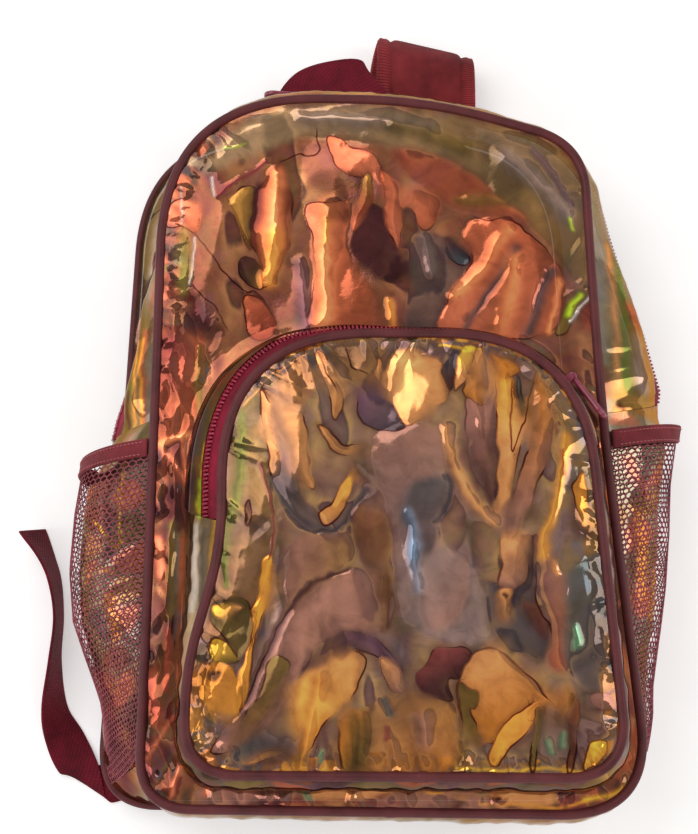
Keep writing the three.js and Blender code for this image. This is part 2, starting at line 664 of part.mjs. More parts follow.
function buildPocketWalls() {
  const { from, to } = POCKET_ZIP;
  const butt = POCKET_BUTT / pocketSeam.path.getLength();
  const walls = between(pocketSeam.stops, to + butt, from + 1 - butt).map((along) => {
    const section = pocketSection(along);
    const top = belowPiping(section, section.base);
    return evenly(0, 1, 3).map((share) => {
      const bow = POCKET_WALL_BOW * Math.sin(Math.PI * share);
      return top.clone().lerp(section.base, share).addScaledVector(section.seam.out, bow);
    });
  });
  addMesh(bag, 'pocket_gusset', 'film', sheet(walls, FILM));

  const stops = between(pocketSeam.stops, from, to);
  const half = CHAIN_WIDTH / 2 + GAP;
  const zip = stops.map((along) => {
    const section = pocketSection(along);
    const out = lookUp(POCKET_ZIP_OUT, 'along', 'out', along);
    const centre = section.seam.point.clone().addScaledVector(section.seam.out, out);
    centre.z = POCKET_ZIP.height;
    const across = centre.clone().sub(section.seam.point).normalize();
    const up = across.clone().cross(onPocketTangent(along)).normalize();
    return { section, centre, across, up };
  });
  const frontTape = zip.map(({ section, centre, across }) => [
    belowPiping(section, centre),
    centre.clone().addScaledVector(across, -half),
  ]);
  addMesh(bag, 'pocket_zip_tape_front', 'tape', sheet(frontTape, FILM));
  const backTape = zip.map(({ section, centre, across }) => {
    const top = centre.clone().addScaledVector(across, half);
    return evenly(0, 1, 2).map((share) => top.clone().lerp(section.base, share));
  });
  addMesh(bag, 'pocket_zip_tape_back', 'tape', sheet(backTape, FILM));
  addMesh(bag, 'pocket_zip_chain', 'teeth', sweep(zip, rectangle(CHAIN_WIDTH, CHAIN_THICK), false));
  return zip;
}

function onPocketTangent(along) {
  return onPocket(along + NEAR).point.sub(onPocket(along - NEAR).point).normalize();
}

// Zip sliders and pulls

function manifoldOf(geometry) {
  const points = geometry.getAttribute('position');
  const index = geometry.index ? geometry.index.array : [...Array(points.count).keys()];
  const seen = new Map();
  const vertices = [];
  const triangles = [...index].map((i) => {
    const corner = [points.getX(i), points.getY(i), points.getZ(i)];
    const key = corner.map((value) => Math.round(value * 1e4)).join(' ');
    if (!seen.has(key)) {
      seen.set(key, vertices.length / 3);
      vertices.push(...corner);
    }
    return seen.get(key);
  });
  return new wasm.Manifold(
    new wasm.Mesh({
      numProp: 3,
      vertProperties: new Float32Array(vertices),
      triVerts: new Uint32Array(triangles),
    }),
  );
}

function fuse(geometries) {
  const solid = geometries.map(manifoldOf).reduce((whole, piece) => whole.add(piece));
  const mesh = solid.getMesh();
  const geometry = new THREE.BufferGeometry();
  geometry.setAttribute('position', new THREE.Float32BufferAttribute(mesh.vertProperties, 3));
  geometry.setIndex([...mesh.triVerts]);
  return geometry;
}

const FLAT_EXTRUDE = { bevelEnabled: false, curveSegments: 6 };

// An outline in x and z, given a width from one y to another.
function acrossWise(shape, from, to) {
  const geometry = new THREE.ExtrudeGeometry(shape, { ...FLAT_EXTRUDE, depth: to - from });
  return geometry.rotateX(Math.PI / 2).translate(0, to, 0);
}

function sliderGeometry() {
  const { length, half, top, lip, channel, roof, chamfer } = SLIDER;
  const profile = new THREE.Shape([
    new THREE.Vector2(-half, lip), new THREE.Vector2(-channel, lip), new THREE.Vector2(-channel, roof),
    new THREE.Vector2(channel, roof), new THREE.Vector2(channel, lip), new THREE.Vector2(half, lip),
    new THREE.Vector2(half, top - chamfer), new THREE.Vector2(half - chamfer, top),
    new THREE.Vector2(-half + chamfer, top), new THREE.Vector2(-half, top - chamfer),
  ]);
  const body = new THREE.ExtrudeGeometry(profile, { ...FLAT_EXTRUDE, depth: length });
  body.rotateX(Math.PI / 2).rotateZ(Math.PI / 2).translate(-length / 2, 0, 0);
  const ear = new THREE.Shape();
  const seat = top - PIN.sunk;
  ear.moveTo(-PIN.earFoot, seat);
  ear.lineTo(PIN.earFoot, seat);
  ear.absarc(0, PIN.height, PIN.earRadius, 0, Math.PI, false);
  ear.closePath();
  const ears = [-1, 1].map((side) => {
    const outer = side * PIN.half;
    const inner = side * (PIN.half - PIN.ear);
    return acrossWise(ear, Math.min(outer, inner), Math.max(outer, inner));
  });
  const pin = new THREE.CylinderGeometry(PIN.radius, PIN.radius, 2 * PIN.half - PIN.ear, PIN_SIDES);
  pin.translate(0, 0, PIN.height);
  return fuse([body, ...ears, pin]);
}

// The pull, with its pin at the origin and its tab along x.
function pullGeometry() {
  const ring = new THREE.Shape();
  ring.absarc(0, 0, PULL.ring, 0, FULL_TURN, false);
  const hole = new THREE.Path();
  hole.absarc(0, 0, PULL.eye, 0, FULL_TURN, true);
  ring.holes.push(hole);
  const eye = acrossWise(ring, -PULL.neck, PULL.neck);
  const start = PULL.eye + PULL.lap;
  const roundAt = PULL.length - PULL.half;
  const tab = new THREE.Shape();
  tab.moveTo(start, -PULL.neck);
  tab.quadraticCurveTo(PULL.shoulder, -PULL.neck, roundAt, -PULL.half);
  tab.absarc(roundAt, 0, PULL.half, -Math.PI / 2, Math.PI / 2, false);
  tab.quadraticCurveTo(PULL.shoulder, PULL.neck, start, PULL.neck);
  tab.closePath();
  const plate = new THREE.ExtrudeGeometry(tab, { ...FLAT_EXTRUDE, depth: PULL.thick });
  plate.translate(0, 0, -PULL.thick / 2);
  return fuse([eye, plate]);
}

// Seats a slider on the straight stretch of chain nearest a point; the pull points down the chain.
function buildSlider(name, stations, near, reverse) {
  const spans = stations.slice(1).map((station, i) => ({ low: stations[i], high: station }));
  const middle = (span) => span.low.centre.clone().add(span.high.centre).multiplyScalar(0.5);
  const away = (span) => Math.hypot(middle(span).x - near.x, middle(span).y - near.y);
  const span = spans.reduce((best, candidate) => (away(candidate) < away(best) ? candidate : best));
  const along = span.high.centre.clone().sub(span.low.centre).normalize().multiplyScalar(reverse ? -1 : 1);
  const up = span.low.up.clone().add(span.high.up);
  up.addScaledVector(along, -up.dot(along)).normalize();
  const across = up.clone().cross(along);
  const seat = new THREE.Group();
  seat.setRotationFromMatrix(new THREE.Matrix4().makeBasis(along, across, up));
  seat.position.copy(middle(span));
  bag.add(seat);
  addMesh(seat, `${name}_slider`, 'teeth', sliderGeometry());
  addMesh(seat, `${name}_pull`, 'teeth', pullGeometry()).position.set(0, 0, PIN.height);
}

// Straps, webbing and ladder locks

// Replaces a turn's row by the stations that carry the webbing round a ladder lock's bar.
function withTurns(rows) {
  return rows.flatMap((row) => {
    if (!row.turn) return [row];
    const { x, y, heading } = BUCKLES.find(({ name }) => name === row.turn);
    const angle = THREE.MathUtils.degToRad(heading);
    return BUCKLE_TURN.map(({ ahead, z }) => ({
      x: x + ahead * Math.cos(angle),
      y: y + ahead * Math.sin(angle),
      z,
      plan: heading - 90,
      lean: 0,
      stretch: 1,
    }));
  });
}

// Lifts each station until its lower edge is on the floor.
function restOnFloor(stations, width, thickness) {
  stations.forEach((station) => {
    const below = (Math.abs(station.across.z) * width + Math.abs(station.up.z) * thickness) / 2;
    station.centre.z = Math.max(station.centre.z, below);
  });
  return stations;
}

// The direction of a strip's width at one row of its table.
function widthOf({ plan, lean = 0, stretch = 1 }) {
  const turn = THREE.MathUtils.degToRad(plan);
  const tilt = THREE.MathUtils.degToRad(lean);
  const level = new THREE.Vector3(Math.cos(turn), Math.sin(turn), 0).multiplyScalar(Math.cos(tilt));
  level.z = Math.sin(tilt);
  return level.multiplyScalar(stretch);
}

// Stations along a strip, with a few steps from each row of its table to the next.
function stripStations(rows, steps) {
  const places = rows.map(({ x, y, z }) => new THREE.Vector3(x, y, z));
  const centres = new THREE.CatmullRomCurve3(places, false, 'centripetal');
  const spans = rows.length - 1;
  return evenly(0, spans, steps * spans).map((place) => {
    const first = Math.min(Math.floor(place), spans - 1);
    const [low, high] = [rows[first], rows[first + 1]];
    const share = place - first;
    const blend = (column) => THREE.MathUtils.lerp(low[column] ?? 1, high[column] ?? 1, share);
    const across = widthOf(low).lerp(widthOf(high), share);
    const up = across.clone().cross(centres.getTangent(place / spans)).normalize();
    const centre = centres.getPoint(place / spans);
    return { centre, across, up, wide: blend('wide'), thick: blend('thick') };
  });
}

const STRIP_STEPS = 2;

function buildStraps() {
  const pad = padSection(STRAP_WIDTH, STRAP_THICK, STRAP_ROUNDING);
  const straps = { left_strap: LEFT_STRAP, right_strap: RIGHT_STRAP };
  for (const [name, rows] of Object.entries(straps)) {
    const stations = restOnFloor(stripStations(rows, STRIP_STEPS), STRAP_WIDTH, STRAP_THICK);
    addMesh(bag, name, 'pad', sweep(stations, pad, false));
  }
  const flat = rectangle(WEBBING_WIDTH, WEBBING_THICK);
  const strips = { left_webbing: LEFT_WEBBING, right_webbing: RIGHT_WEBBING, haul_loop: HAUL_LOOP };
  for (const [name, rows] of Object.entries(strips)) {
    const stations = stripStations(withTurns(rows), STRIP_STEPS);
    restOnFloor(stations, WEBBING_WIDTH, WEBBING_THICK);
    addMesh(bag, name, 'webbing', sweep(stations, flat, false));
  }
}

function buildBuckle({ name, x, y, heading }) {
  const side = BUCKLE.wide / 2;
  const frame = new THREE.Shape([
    new THREE.Vector2(BUCKLE.tail, -side), new THREE.Vector2(BUCKLE.nose, -side),
    new THREE.Vector2(BUCKLE.nose, side), new THREE.Vector2(BUCKLE.tail, side),
  ]);
  for (const { from, to, half } of BUCKLE_SLOTS) {
    frame.holes.push(new THREE.Path([
      new THREE.Vector2(from, -half), new THREE.Vector2(from, half),
      new THREE.Vector2(to, half), new THREE.Vector2(to, -half),
    ]));
  }
  const body = new THREE.ExtrudeGeometry(frame, { ...FLAT_EXTRUDE, depth: BUCKLE.thick });
  const buckle = addMesh(bag, name, 'teeth', body);
  buckle.position.set(x, y, BUCKLE.foot);
  buckle.rotation.z = THREE.MathUtils.degToRad(heading);
}

buildPanels();
piping('front_piping', frontSeam.stops, onFront);
piping('back_piping', frontSeam.stops, onBack);
piping('pocket_piping', pocketSeam.stops, onPocket);
const mainChain = buildGusset();
const pocketChain = buildPocketWalls();
buildSlider('pocket', pocketChain, POCKET_SLIDER_AT, true);
buildSlider('main', mainChain, MAIN_SLIDER_AT, false);
buildNetPocket('left');
buildNetPocket('right');
buildStraps();
BUCKLES.forEach(buildBuckle);

export default bag;
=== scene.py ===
"""Looks of a backpack of clear holographic film that lies on its back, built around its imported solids."""
import math

import bpy
import numpy as np
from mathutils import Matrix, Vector, noise
from mathutils.kdtree import KDTree


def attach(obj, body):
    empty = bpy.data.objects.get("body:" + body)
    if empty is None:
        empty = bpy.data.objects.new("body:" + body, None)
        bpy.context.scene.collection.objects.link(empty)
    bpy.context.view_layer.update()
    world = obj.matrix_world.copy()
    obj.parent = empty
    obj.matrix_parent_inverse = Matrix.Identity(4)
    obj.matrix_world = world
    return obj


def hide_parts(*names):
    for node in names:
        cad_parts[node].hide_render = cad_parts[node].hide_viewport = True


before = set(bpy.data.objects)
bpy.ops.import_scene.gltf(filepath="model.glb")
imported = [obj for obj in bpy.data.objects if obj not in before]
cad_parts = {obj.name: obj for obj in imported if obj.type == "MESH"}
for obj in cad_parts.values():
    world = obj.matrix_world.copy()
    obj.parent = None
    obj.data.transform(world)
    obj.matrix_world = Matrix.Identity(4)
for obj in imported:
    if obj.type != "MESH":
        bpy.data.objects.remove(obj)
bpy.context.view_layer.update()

# Tables are in millimetres, in the sewing coordinates of the bag: x to its right, y to its top, z up.
MM = 0.001
ORIGIN = np.array([-1.7, 22.4, 0.0])
UP = np.array([0.0, 0.0, 1.0])

FRONT_HEIGHT = 92
FRONT_END_RISE = 6
FRONT_MIDDLE_Y = -13
FRONT_HALF_LENGTH = 213
BACK_HEIGHT = 13
BACK_PAD_FOOT = 7.6
BACK_PAD = 4
PAD_INSET = 3.05  # from the back seam to the pad's edge
PAD_SHARES = (0.22, 0.45, 0.65, 0.8, 0.9, 0.96, 0.985, 1.0)  # sizes of the pad's rings
PAD_ROUND = 0.45  # of its thickness, which each face loses at the rim
POCKET_HEIGHT = 118
POCKET_CROWN = 6
CROWN_REACH = 95  # from the pocket's seam
PIPING_RADIUS = 2.75
JOIN_HALF = 3.5  # half the length of the sleeve over a piping's join
JOIN_SWELL = 0.09
JOIN_PINCH = 0.16
FILM_INSET = 1.2  # from a seam to the film's edge
FOLD_FADE = 12  # from the film's edge to where its folds have their full height
GATHER_FADE = 5
FILM_GAP = 1.3  # from the front film up to the foot of the pocket's wall
STRIP_BUTT = 0.35  # between the ends of the upper and the lower gusset
TOP_REACH = 15
BOTTOM_REACH = 6
NET_FILL = 0.75  # of a net's depth, taken up by the film behind it
SIDE_SWELL = 6
TOP_SWELL = 4

MAIN_ZIP_AT = 0.5
ZIP_TAPE = 11
CHAIN_WIDTH = 5.5
CHAIN_EDGE = CHAIN_WIDTH / 2 + 0.45
TAPE_LAP = 1.6  # of the tape under the teeth
TAPE_GAP = 0.3  # between the tape and the film beside it
TOOTH_PITCH = 4.8
TOOTH_LONG = 0.85
TOOTH_HIGH = 1.5
TOOTH_RINGS = [(-3.1, 0.7), (-2.7, 1.0), (1.0, 1.0), (1.7, 1.15), (2.1, 0.8)]  # place across, share
STITCH_WIDE = 0.42
STITCH_THICK = 0.34
STITCH_RINGS = [(-0.36, 0.3), (-0.26, 1.0), (0.26, 1.0), (0.36, 0.3)]  # place in the pitch, share

STRAP_WIDTH = 66
STRAP_THICK = 7
STRAP_BOUND = 9
STRAP_STITCH_IN = 2.4  # from the bound edge
STRAP_STITCH_AT = 0.36  # of the thickness, from the strap's middle
STRAP_STITCHED = slice(20, -8)
STRAP_STITCH_PITCH = 3.4
BINDING_STITCH_PITCH = 2.6
RIB_PITCH = 1.9
RIB_SCALE = 0.19  # makes bars 1.65 mm apart, as a wave repeats every 0.314 mm over its scale
WEBBING_WIDTH = 25
WEBBING_THICK = 1.6

# Corners of the seams, counter-clockwise from the bottom right: x, y and the reach of the bend.
FRONT_CORNERS = [
    (167, -226, 52), (148, 0, 60), (142, 169, 30), (48, 197, 45), (-112, 199.5, 96), (-116, -222, 30),
]
BACK_CORNERS = [(150, -222, 36), (134, 208, 80), (-134, 208, 80), (-150, -222, 36)]
POCKET_CORNERS = [
    (151.5, -206, 36), (133, 43, 80), (-73, 44, 88), (-71, -80, 28), (-89, -146, 22), (-89.5, -204, 30),
]
POCKET_BASE_CORNERS = [(157, -213, 38), (141, 50, 84), (-92, 54, 92), (-97, -212, 32)]

# Outward bow of the side gussets: y, left, right.
SIDE_REACH = [
    (-230, 5, 2), (-200, 8, 2), (-160, 14, 6), (-125, 20, 14), (-80, 27, 22), (-45, 29, 29), (-10, 31, 38),
    (10, 27, 42), (45, 17, 35), (77, 14, 26), (110, 6, 18), (160, 5, 8), (205, 4, 4),
]
# How far the net pockets stand off the gusset: y, left, right.
NET_DEPTH = [
    (-195, 0, 0), (-175, 10, 6), (-150, 12, 8), (-125, 19, 10), (-105, 24, 12), (-75, 23, 13), (-45, 20, 12),
    (-2, 12, 12),
]
NET_TOP = {"left": -6, "right": -2}
NET_BOTTOM = -192
NET_CLEAR = 1.6
NET_EDGES = (0.05, 0.985)
BINDING_EDGES = (0.06, 0.98)
NET_DROP = 6.5
BINDING_WIDTH = 11
BINDING_THICK = 2.4
NET_LAP = 4
SIDE_SPAN = {"right": (0.02, 0.32), "left": (0.5, 0.84)}
NET_ROWS = 60
NET_COLUMNS = 48
NET_ZIG = 0.22  # of a row
STRAND_WIDE = 0.5
STRAND_THICK = 0.32
STRAND_LAP = 0.2
BINDING_LAP = 1.5
BINDING_STITCHES = (-0.36, 0.3)

POCKET_ZIP = (0.24, 0.609)
POCKET_ZIP_HEIGHT = 106
# Outward stand-off of the pocket zip: place along the seam, distance.
POCKET_ZIP_OUT = [(0.24, 4), (0.4, 5), (0.46, 8), (0.475, 9.5), (0.609, 9.5)]
TAPE_INSET = 1.5  # of the pocket zip's tapes, from the seam and from the middle of the teeth
FLAP_EDGE = 4.2  # from the middle of the teeth to the film flap beside them
FLAP_COLUMNS = 10
WALL_GAP = 2  # between the zip's ends and the film wall
WALL_COLUMNS = 22
WALL_DROP = 1.5  # of its top edge below the pocket's seam
WALL_BOW = 3
WALL_CRINKLE = 1.2
WALL_WAVE = 8
WALL_DEPTH = 7  # the wall's depth in its crinkles' measure

# Tints of the film's painted reflections and painted shade, as they look on a screen.
TINTS = {
    "copper": (0.66, 0.36, 0.25),
    "bright_copper": (0.94, 0.56, 0.37),
    "orange": (0.94, 0.6, 0.3),
    "red_copper": (0.56, 0.27, 0.21),
    "copper_brown": (0.45, 0.26, 0.17),
    "salmon": (0.8, 0.46, 0.34),
    "maroon": (0.33, 0.13, 0.12),
    "plum": (0.26, 0.14, 0.17),
    "plum_red": (0.5, 0.24, 0.25),
    "violet": (0.42, 0.3, 0.36),
    "dark_brown": (0.36, 0.24, 0.15),
    "tan": (0.8, 0.56, 0.36),
    "pale_gold": (0.86, 0.6, 0.38),
    "gold": (0.92, 0.63, 0.26),
    "yellow": (0.96, 0.74, 0.28),
    "amber": (0.74, 0.47, 0.19),
    "bronze": (0.55, 0.39, 0.25),
    "olive_gold": (0.62, 0.46, 0.24),
    "olive": (0.46, 0.38, 0.2),
    "grey_olive": (0.68, 0.58, 0.45),
    "dark_olive": (0.3, 0.26, 0.14),
    "green": (0.38, 0.45, 0.2),
    "lime": (0.72, 0.82, 0.2),
    "mint": (0.45, 0.62, 0.48),
    "teal": (0.24, 0.32, 0.34),
    "sky": (0.5, 0.64, 0.76),
    "slate": (0.3, 0.28, 0.3),
    "mauve": (0.6, 0.43, 0.38),
    "lilac_grey": (0.58, 0.5, 0.48),
    "silver": (0.78, 0.75, 0.72),
}
FILM_GAIN = 1.8
FILM_CONTRAST = 2.5

# Painted reflections in the film, in pixels of the picture's frame. A pool: tint at its first point, tint
# opposite, 1 where a dark line bounds it, and its outline. A streak, often a painted highlight: tint, half
# width, strength and its path. A line, a painted dark edge of a reflection: its path.
FRONT_POOLS = [
    ("grey_olive", "olive", 0, (205, 172, 238, 130, 290, 110, 380, 110, 480, 124, 560, 152, 587, 200, 598,
        285, 577, 280, 548, 243, 502, 200, 472, 176, 441, 157, 390, 147, 328, 139, 292, 140, 235, 165)),
    ("red_copper", "copper", 0, (395, 152, 441, 158, 472, 177, 502, 201, 525, 222, 487, 214, 455, 208, 420,
        185)),
    ("olive", "olive", 0, (456, 198, 490, 196, 508, 204, 490, 208, 465, 207)),
    ("salmon", "copper", 1, (169, 205, 185, 200, 201, 212, 198, 232, 181, 225, 167, 226)),
    ("maroon", "plum", 1, (191, 287, 184, 304, 188, 330, 222, 332, 206, 308)),
    ("olive_gold", "olive_gold", 1, (229, 199, 253, 190, 252, 243, 248, 248, 238, 225)),
    ("maroon", "red_copper", 1, (282, 163, 258, 188, 253, 212, 252, 243, 259, 258, 264, 284, 276, 274, 286,
        243, 292, 212, 289, 182)),
    ("plum", "dark_olive", 1, (241, 258, 252, 257, 260, 268, 264, 284, 257, 287, 243, 278, 238, 268)),
    ("copper", "salmon", 1, (328, 139, 342, 139, 350, 148, 371, 154, 380, 166, 384, 190, 372, 178, 352, 178,
        334, 164)),
    ("salmon", "copper", 1, (304, 208, 328, 204, 350, 204, 345, 235, 350, 262, 372, 290, 372, 332, 310, 332,
        316, 262)),
    ("plum", "plum", 1, (370, 206, 388, 214, 398, 245, 410, 250, 411, 275, 400, 281, 385, 279, 366, 267,
        352, 254, 350, 240, 357, 222)),
    ("olive_gold", "copper", 1, (363, 177, 370, 176, 372, 188, 370, 209, 353, 232, 350, 225, 357, 203)),
    ("copper", "salmon", 1, (380, 171, 385, 197, 385, 222, 391, 237, 401, 243, 402, 203, 395, 180)),
    ("salmon", "copper", 1, (402, 204, 411, 209, 417, 225, 426, 230, 437, 223, 440, 212, 438, 197, 415,
        192)),
    ("slate", "slate", 0, (420, 232, 445, 236, 468, 258, 447, 298, 444, 332, 405, 332, 410, 285, 412, 255)),
    ("plum", "teal", 1, (447, 238, 466, 255, 462, 264, 450, 256)),
    ("copper", "salmon", 1, (512, 223, 553, 258, 564, 278, 564, 290, 548, 332, 445, 332, 446, 300, 470, 260,
        463, 235, 475, 220)),
    ("dark_olive", "olive", 1, (597, 281, 577, 293, 564, 312, 556, 332, 566, 332, 580, 308)),
    ("maroon", "red_copper", 1, (592, 298, 580, 312, 585, 330, 600, 330, 601, 300)),
    ("slate", "plum", 0, (165, 228, 176, 232, 178, 290, 168, 300)),
    ("olive", "green", 0, (177, 228, 190, 236, 188, 285, 180, 290)),
    ("copper", "red_copper", 1, (244, 296, 262, 300, 276, 325, 262, 340, 246, 330)),
    ("plum_red", "copper", 0, (160, 345, 190, 340, 196, 400, 186, 438, 160, 440)),
    ("plum", "maroon", 1, (167, 446, 180, 446, 188, 478, 182, 476)),
    ("maroon", "plum", 0, (160, 455, 180, 480, 186, 520, 162, 530)),
    ("maroon", "dark_olive", 0, (158, 600, 178, 605, 176, 690, 160, 700)),
]
FRONT_STREAKS = [
    ("bright_copper", 9, 0.9, (279, 176, 276, 212, 273, 243)),
    ("orange", 8, 0.95, (274, 235, 271, 262, 268, 280)), ("plum", 5, 0.7, (258, 190, 254, 228)),
    ("plum_red", 3, 0.9, (267, 163, 246, 176, 227, 188, 218, 197)),
    ("bright_copper", 10, 0.9, (328, 210, 325, 240, 325, 275, 324, 322)),
    ("orange", 4, 0.6, (327, 222, 326, 242)), ("violet", 8, 0.6, (300, 262, 303, 300, 306, 330)),
    ("bright_copper", 6, 0.9, (508, 232, 480, 270, 454, 296)),
    ("slate", 5, 0.8, (516, 250, 490, 290, 462, 330)),
    ("bright_copper", 9, 0.9, (513, 263, 508, 300, 500, 330)),
    ("slate", 6, 0.85, (552, 272, 540, 300, 528, 330)),
    ("bright_copper", 3, 0.9, (560, 280, 556, 305, 549, 330)),
    ("lilac_grey", 10, 0.7, (505, 160, 540, 185, 565, 215)),
    ("violet", 4, 0.7, (533, 152, 555, 178, 571, 206)),
    ("copper_brown", 4, 0.8, (560, 148, 584, 180, 592, 230)), ("lime", 2, 0.8, (568, 220, 572, 230)),
    ("lime", 3, 0.95, (580, 293, 573, 303, 568, 315)), ("silver", 1.5, 0.9, (597, 283, 584, 303, 570, 322)),
    ("lilac_grey", 8, 0.5, (300, 118, 380, 124, 430, 132)),
    ("olive", 8, 0.7, (395, 130, 440, 140, 470, 150)), ("lime", 1.5, 0.5, (226, 152, 246, 147)),
    ("silver", 1.2, 0.5, (212, 180, 214, 198)), ("silver", 1.2, 0.45, (195, 237, 190, 283)),
    ("silver", 1.2, 0.4, (183, 188, 180, 222)), ("lilac_grey", 6, 0.4, (424, 238, 432, 270)),
    ("orange", 4, 0.8, (389, 300, 393, 330)), ("salmon", 2, 0.95, (160, 443, 174, 464, 188, 482, 196, 446)),
    ("salmon", 2, 0.95, (180, 438, 188, 478)), ("bright_copper", 3, 0.9, (162, 442, 178, 437, 194, 435)),
    ("red_copper", 4, 0.9, (192, 397, 204, 427)), ("olive", 4, 0.8, (200, 345, 198, 420)),
    ("salmon", 4, 0.9, (157, 540, 161, 576)), ("olive", 4, 0.8, (174, 525, 170, 615)),
    ("lime", 2.5, 0.8, (200, 482, 199, 514)), ("salmon", 2, 0.9, (147, 759, 160, 740, 174, 716)),
    ("salmon", 2, 0.9, (169, 801, 178, 775, 189, 755)), ("mint", 3, 0.7, (300, 786, 312, 799)),
    ("mint", 3, 0.7, (470, 784, 486, 790)), ("yellow", 2, 0.8, (583, 800, 610, 796, 628, 785)),
    ("gold", 1.5, 0.8, (450, 786, 440, 791, 410, 788)), ("salmon", 2, 0.8, (205, 795, 214, 784, 222, 776)),
    ("gold", 1.4, 0.7, (480, 804, 540, 806, 585, 802)), ("slate", 6, 0.6, (560, 788, 600, 784)),
    ("plum_red", 1.5, 0.7, (260, 801, 330, 801, 400, 803)), ("red_copper", 4, 0.8, (168, 630, 166, 690)),
]
FRONT_LINES = [
    (181, 225, 197, 235, 221, 266, 246, 290, 255, 290, 267, 304, 276, 320, 279, 332),
    (316, 133, 319, 153, 307, 158, 298, 156, 282, 162), (350, 148, 371, 154, 380, 166, 384, 190, 388, 228),
    (194, 283, 211, 304, 226, 326), (229, 199, 240, 225, 250, 247),
    (475, 217, 490, 222, 505, 218, 512, 223),
]
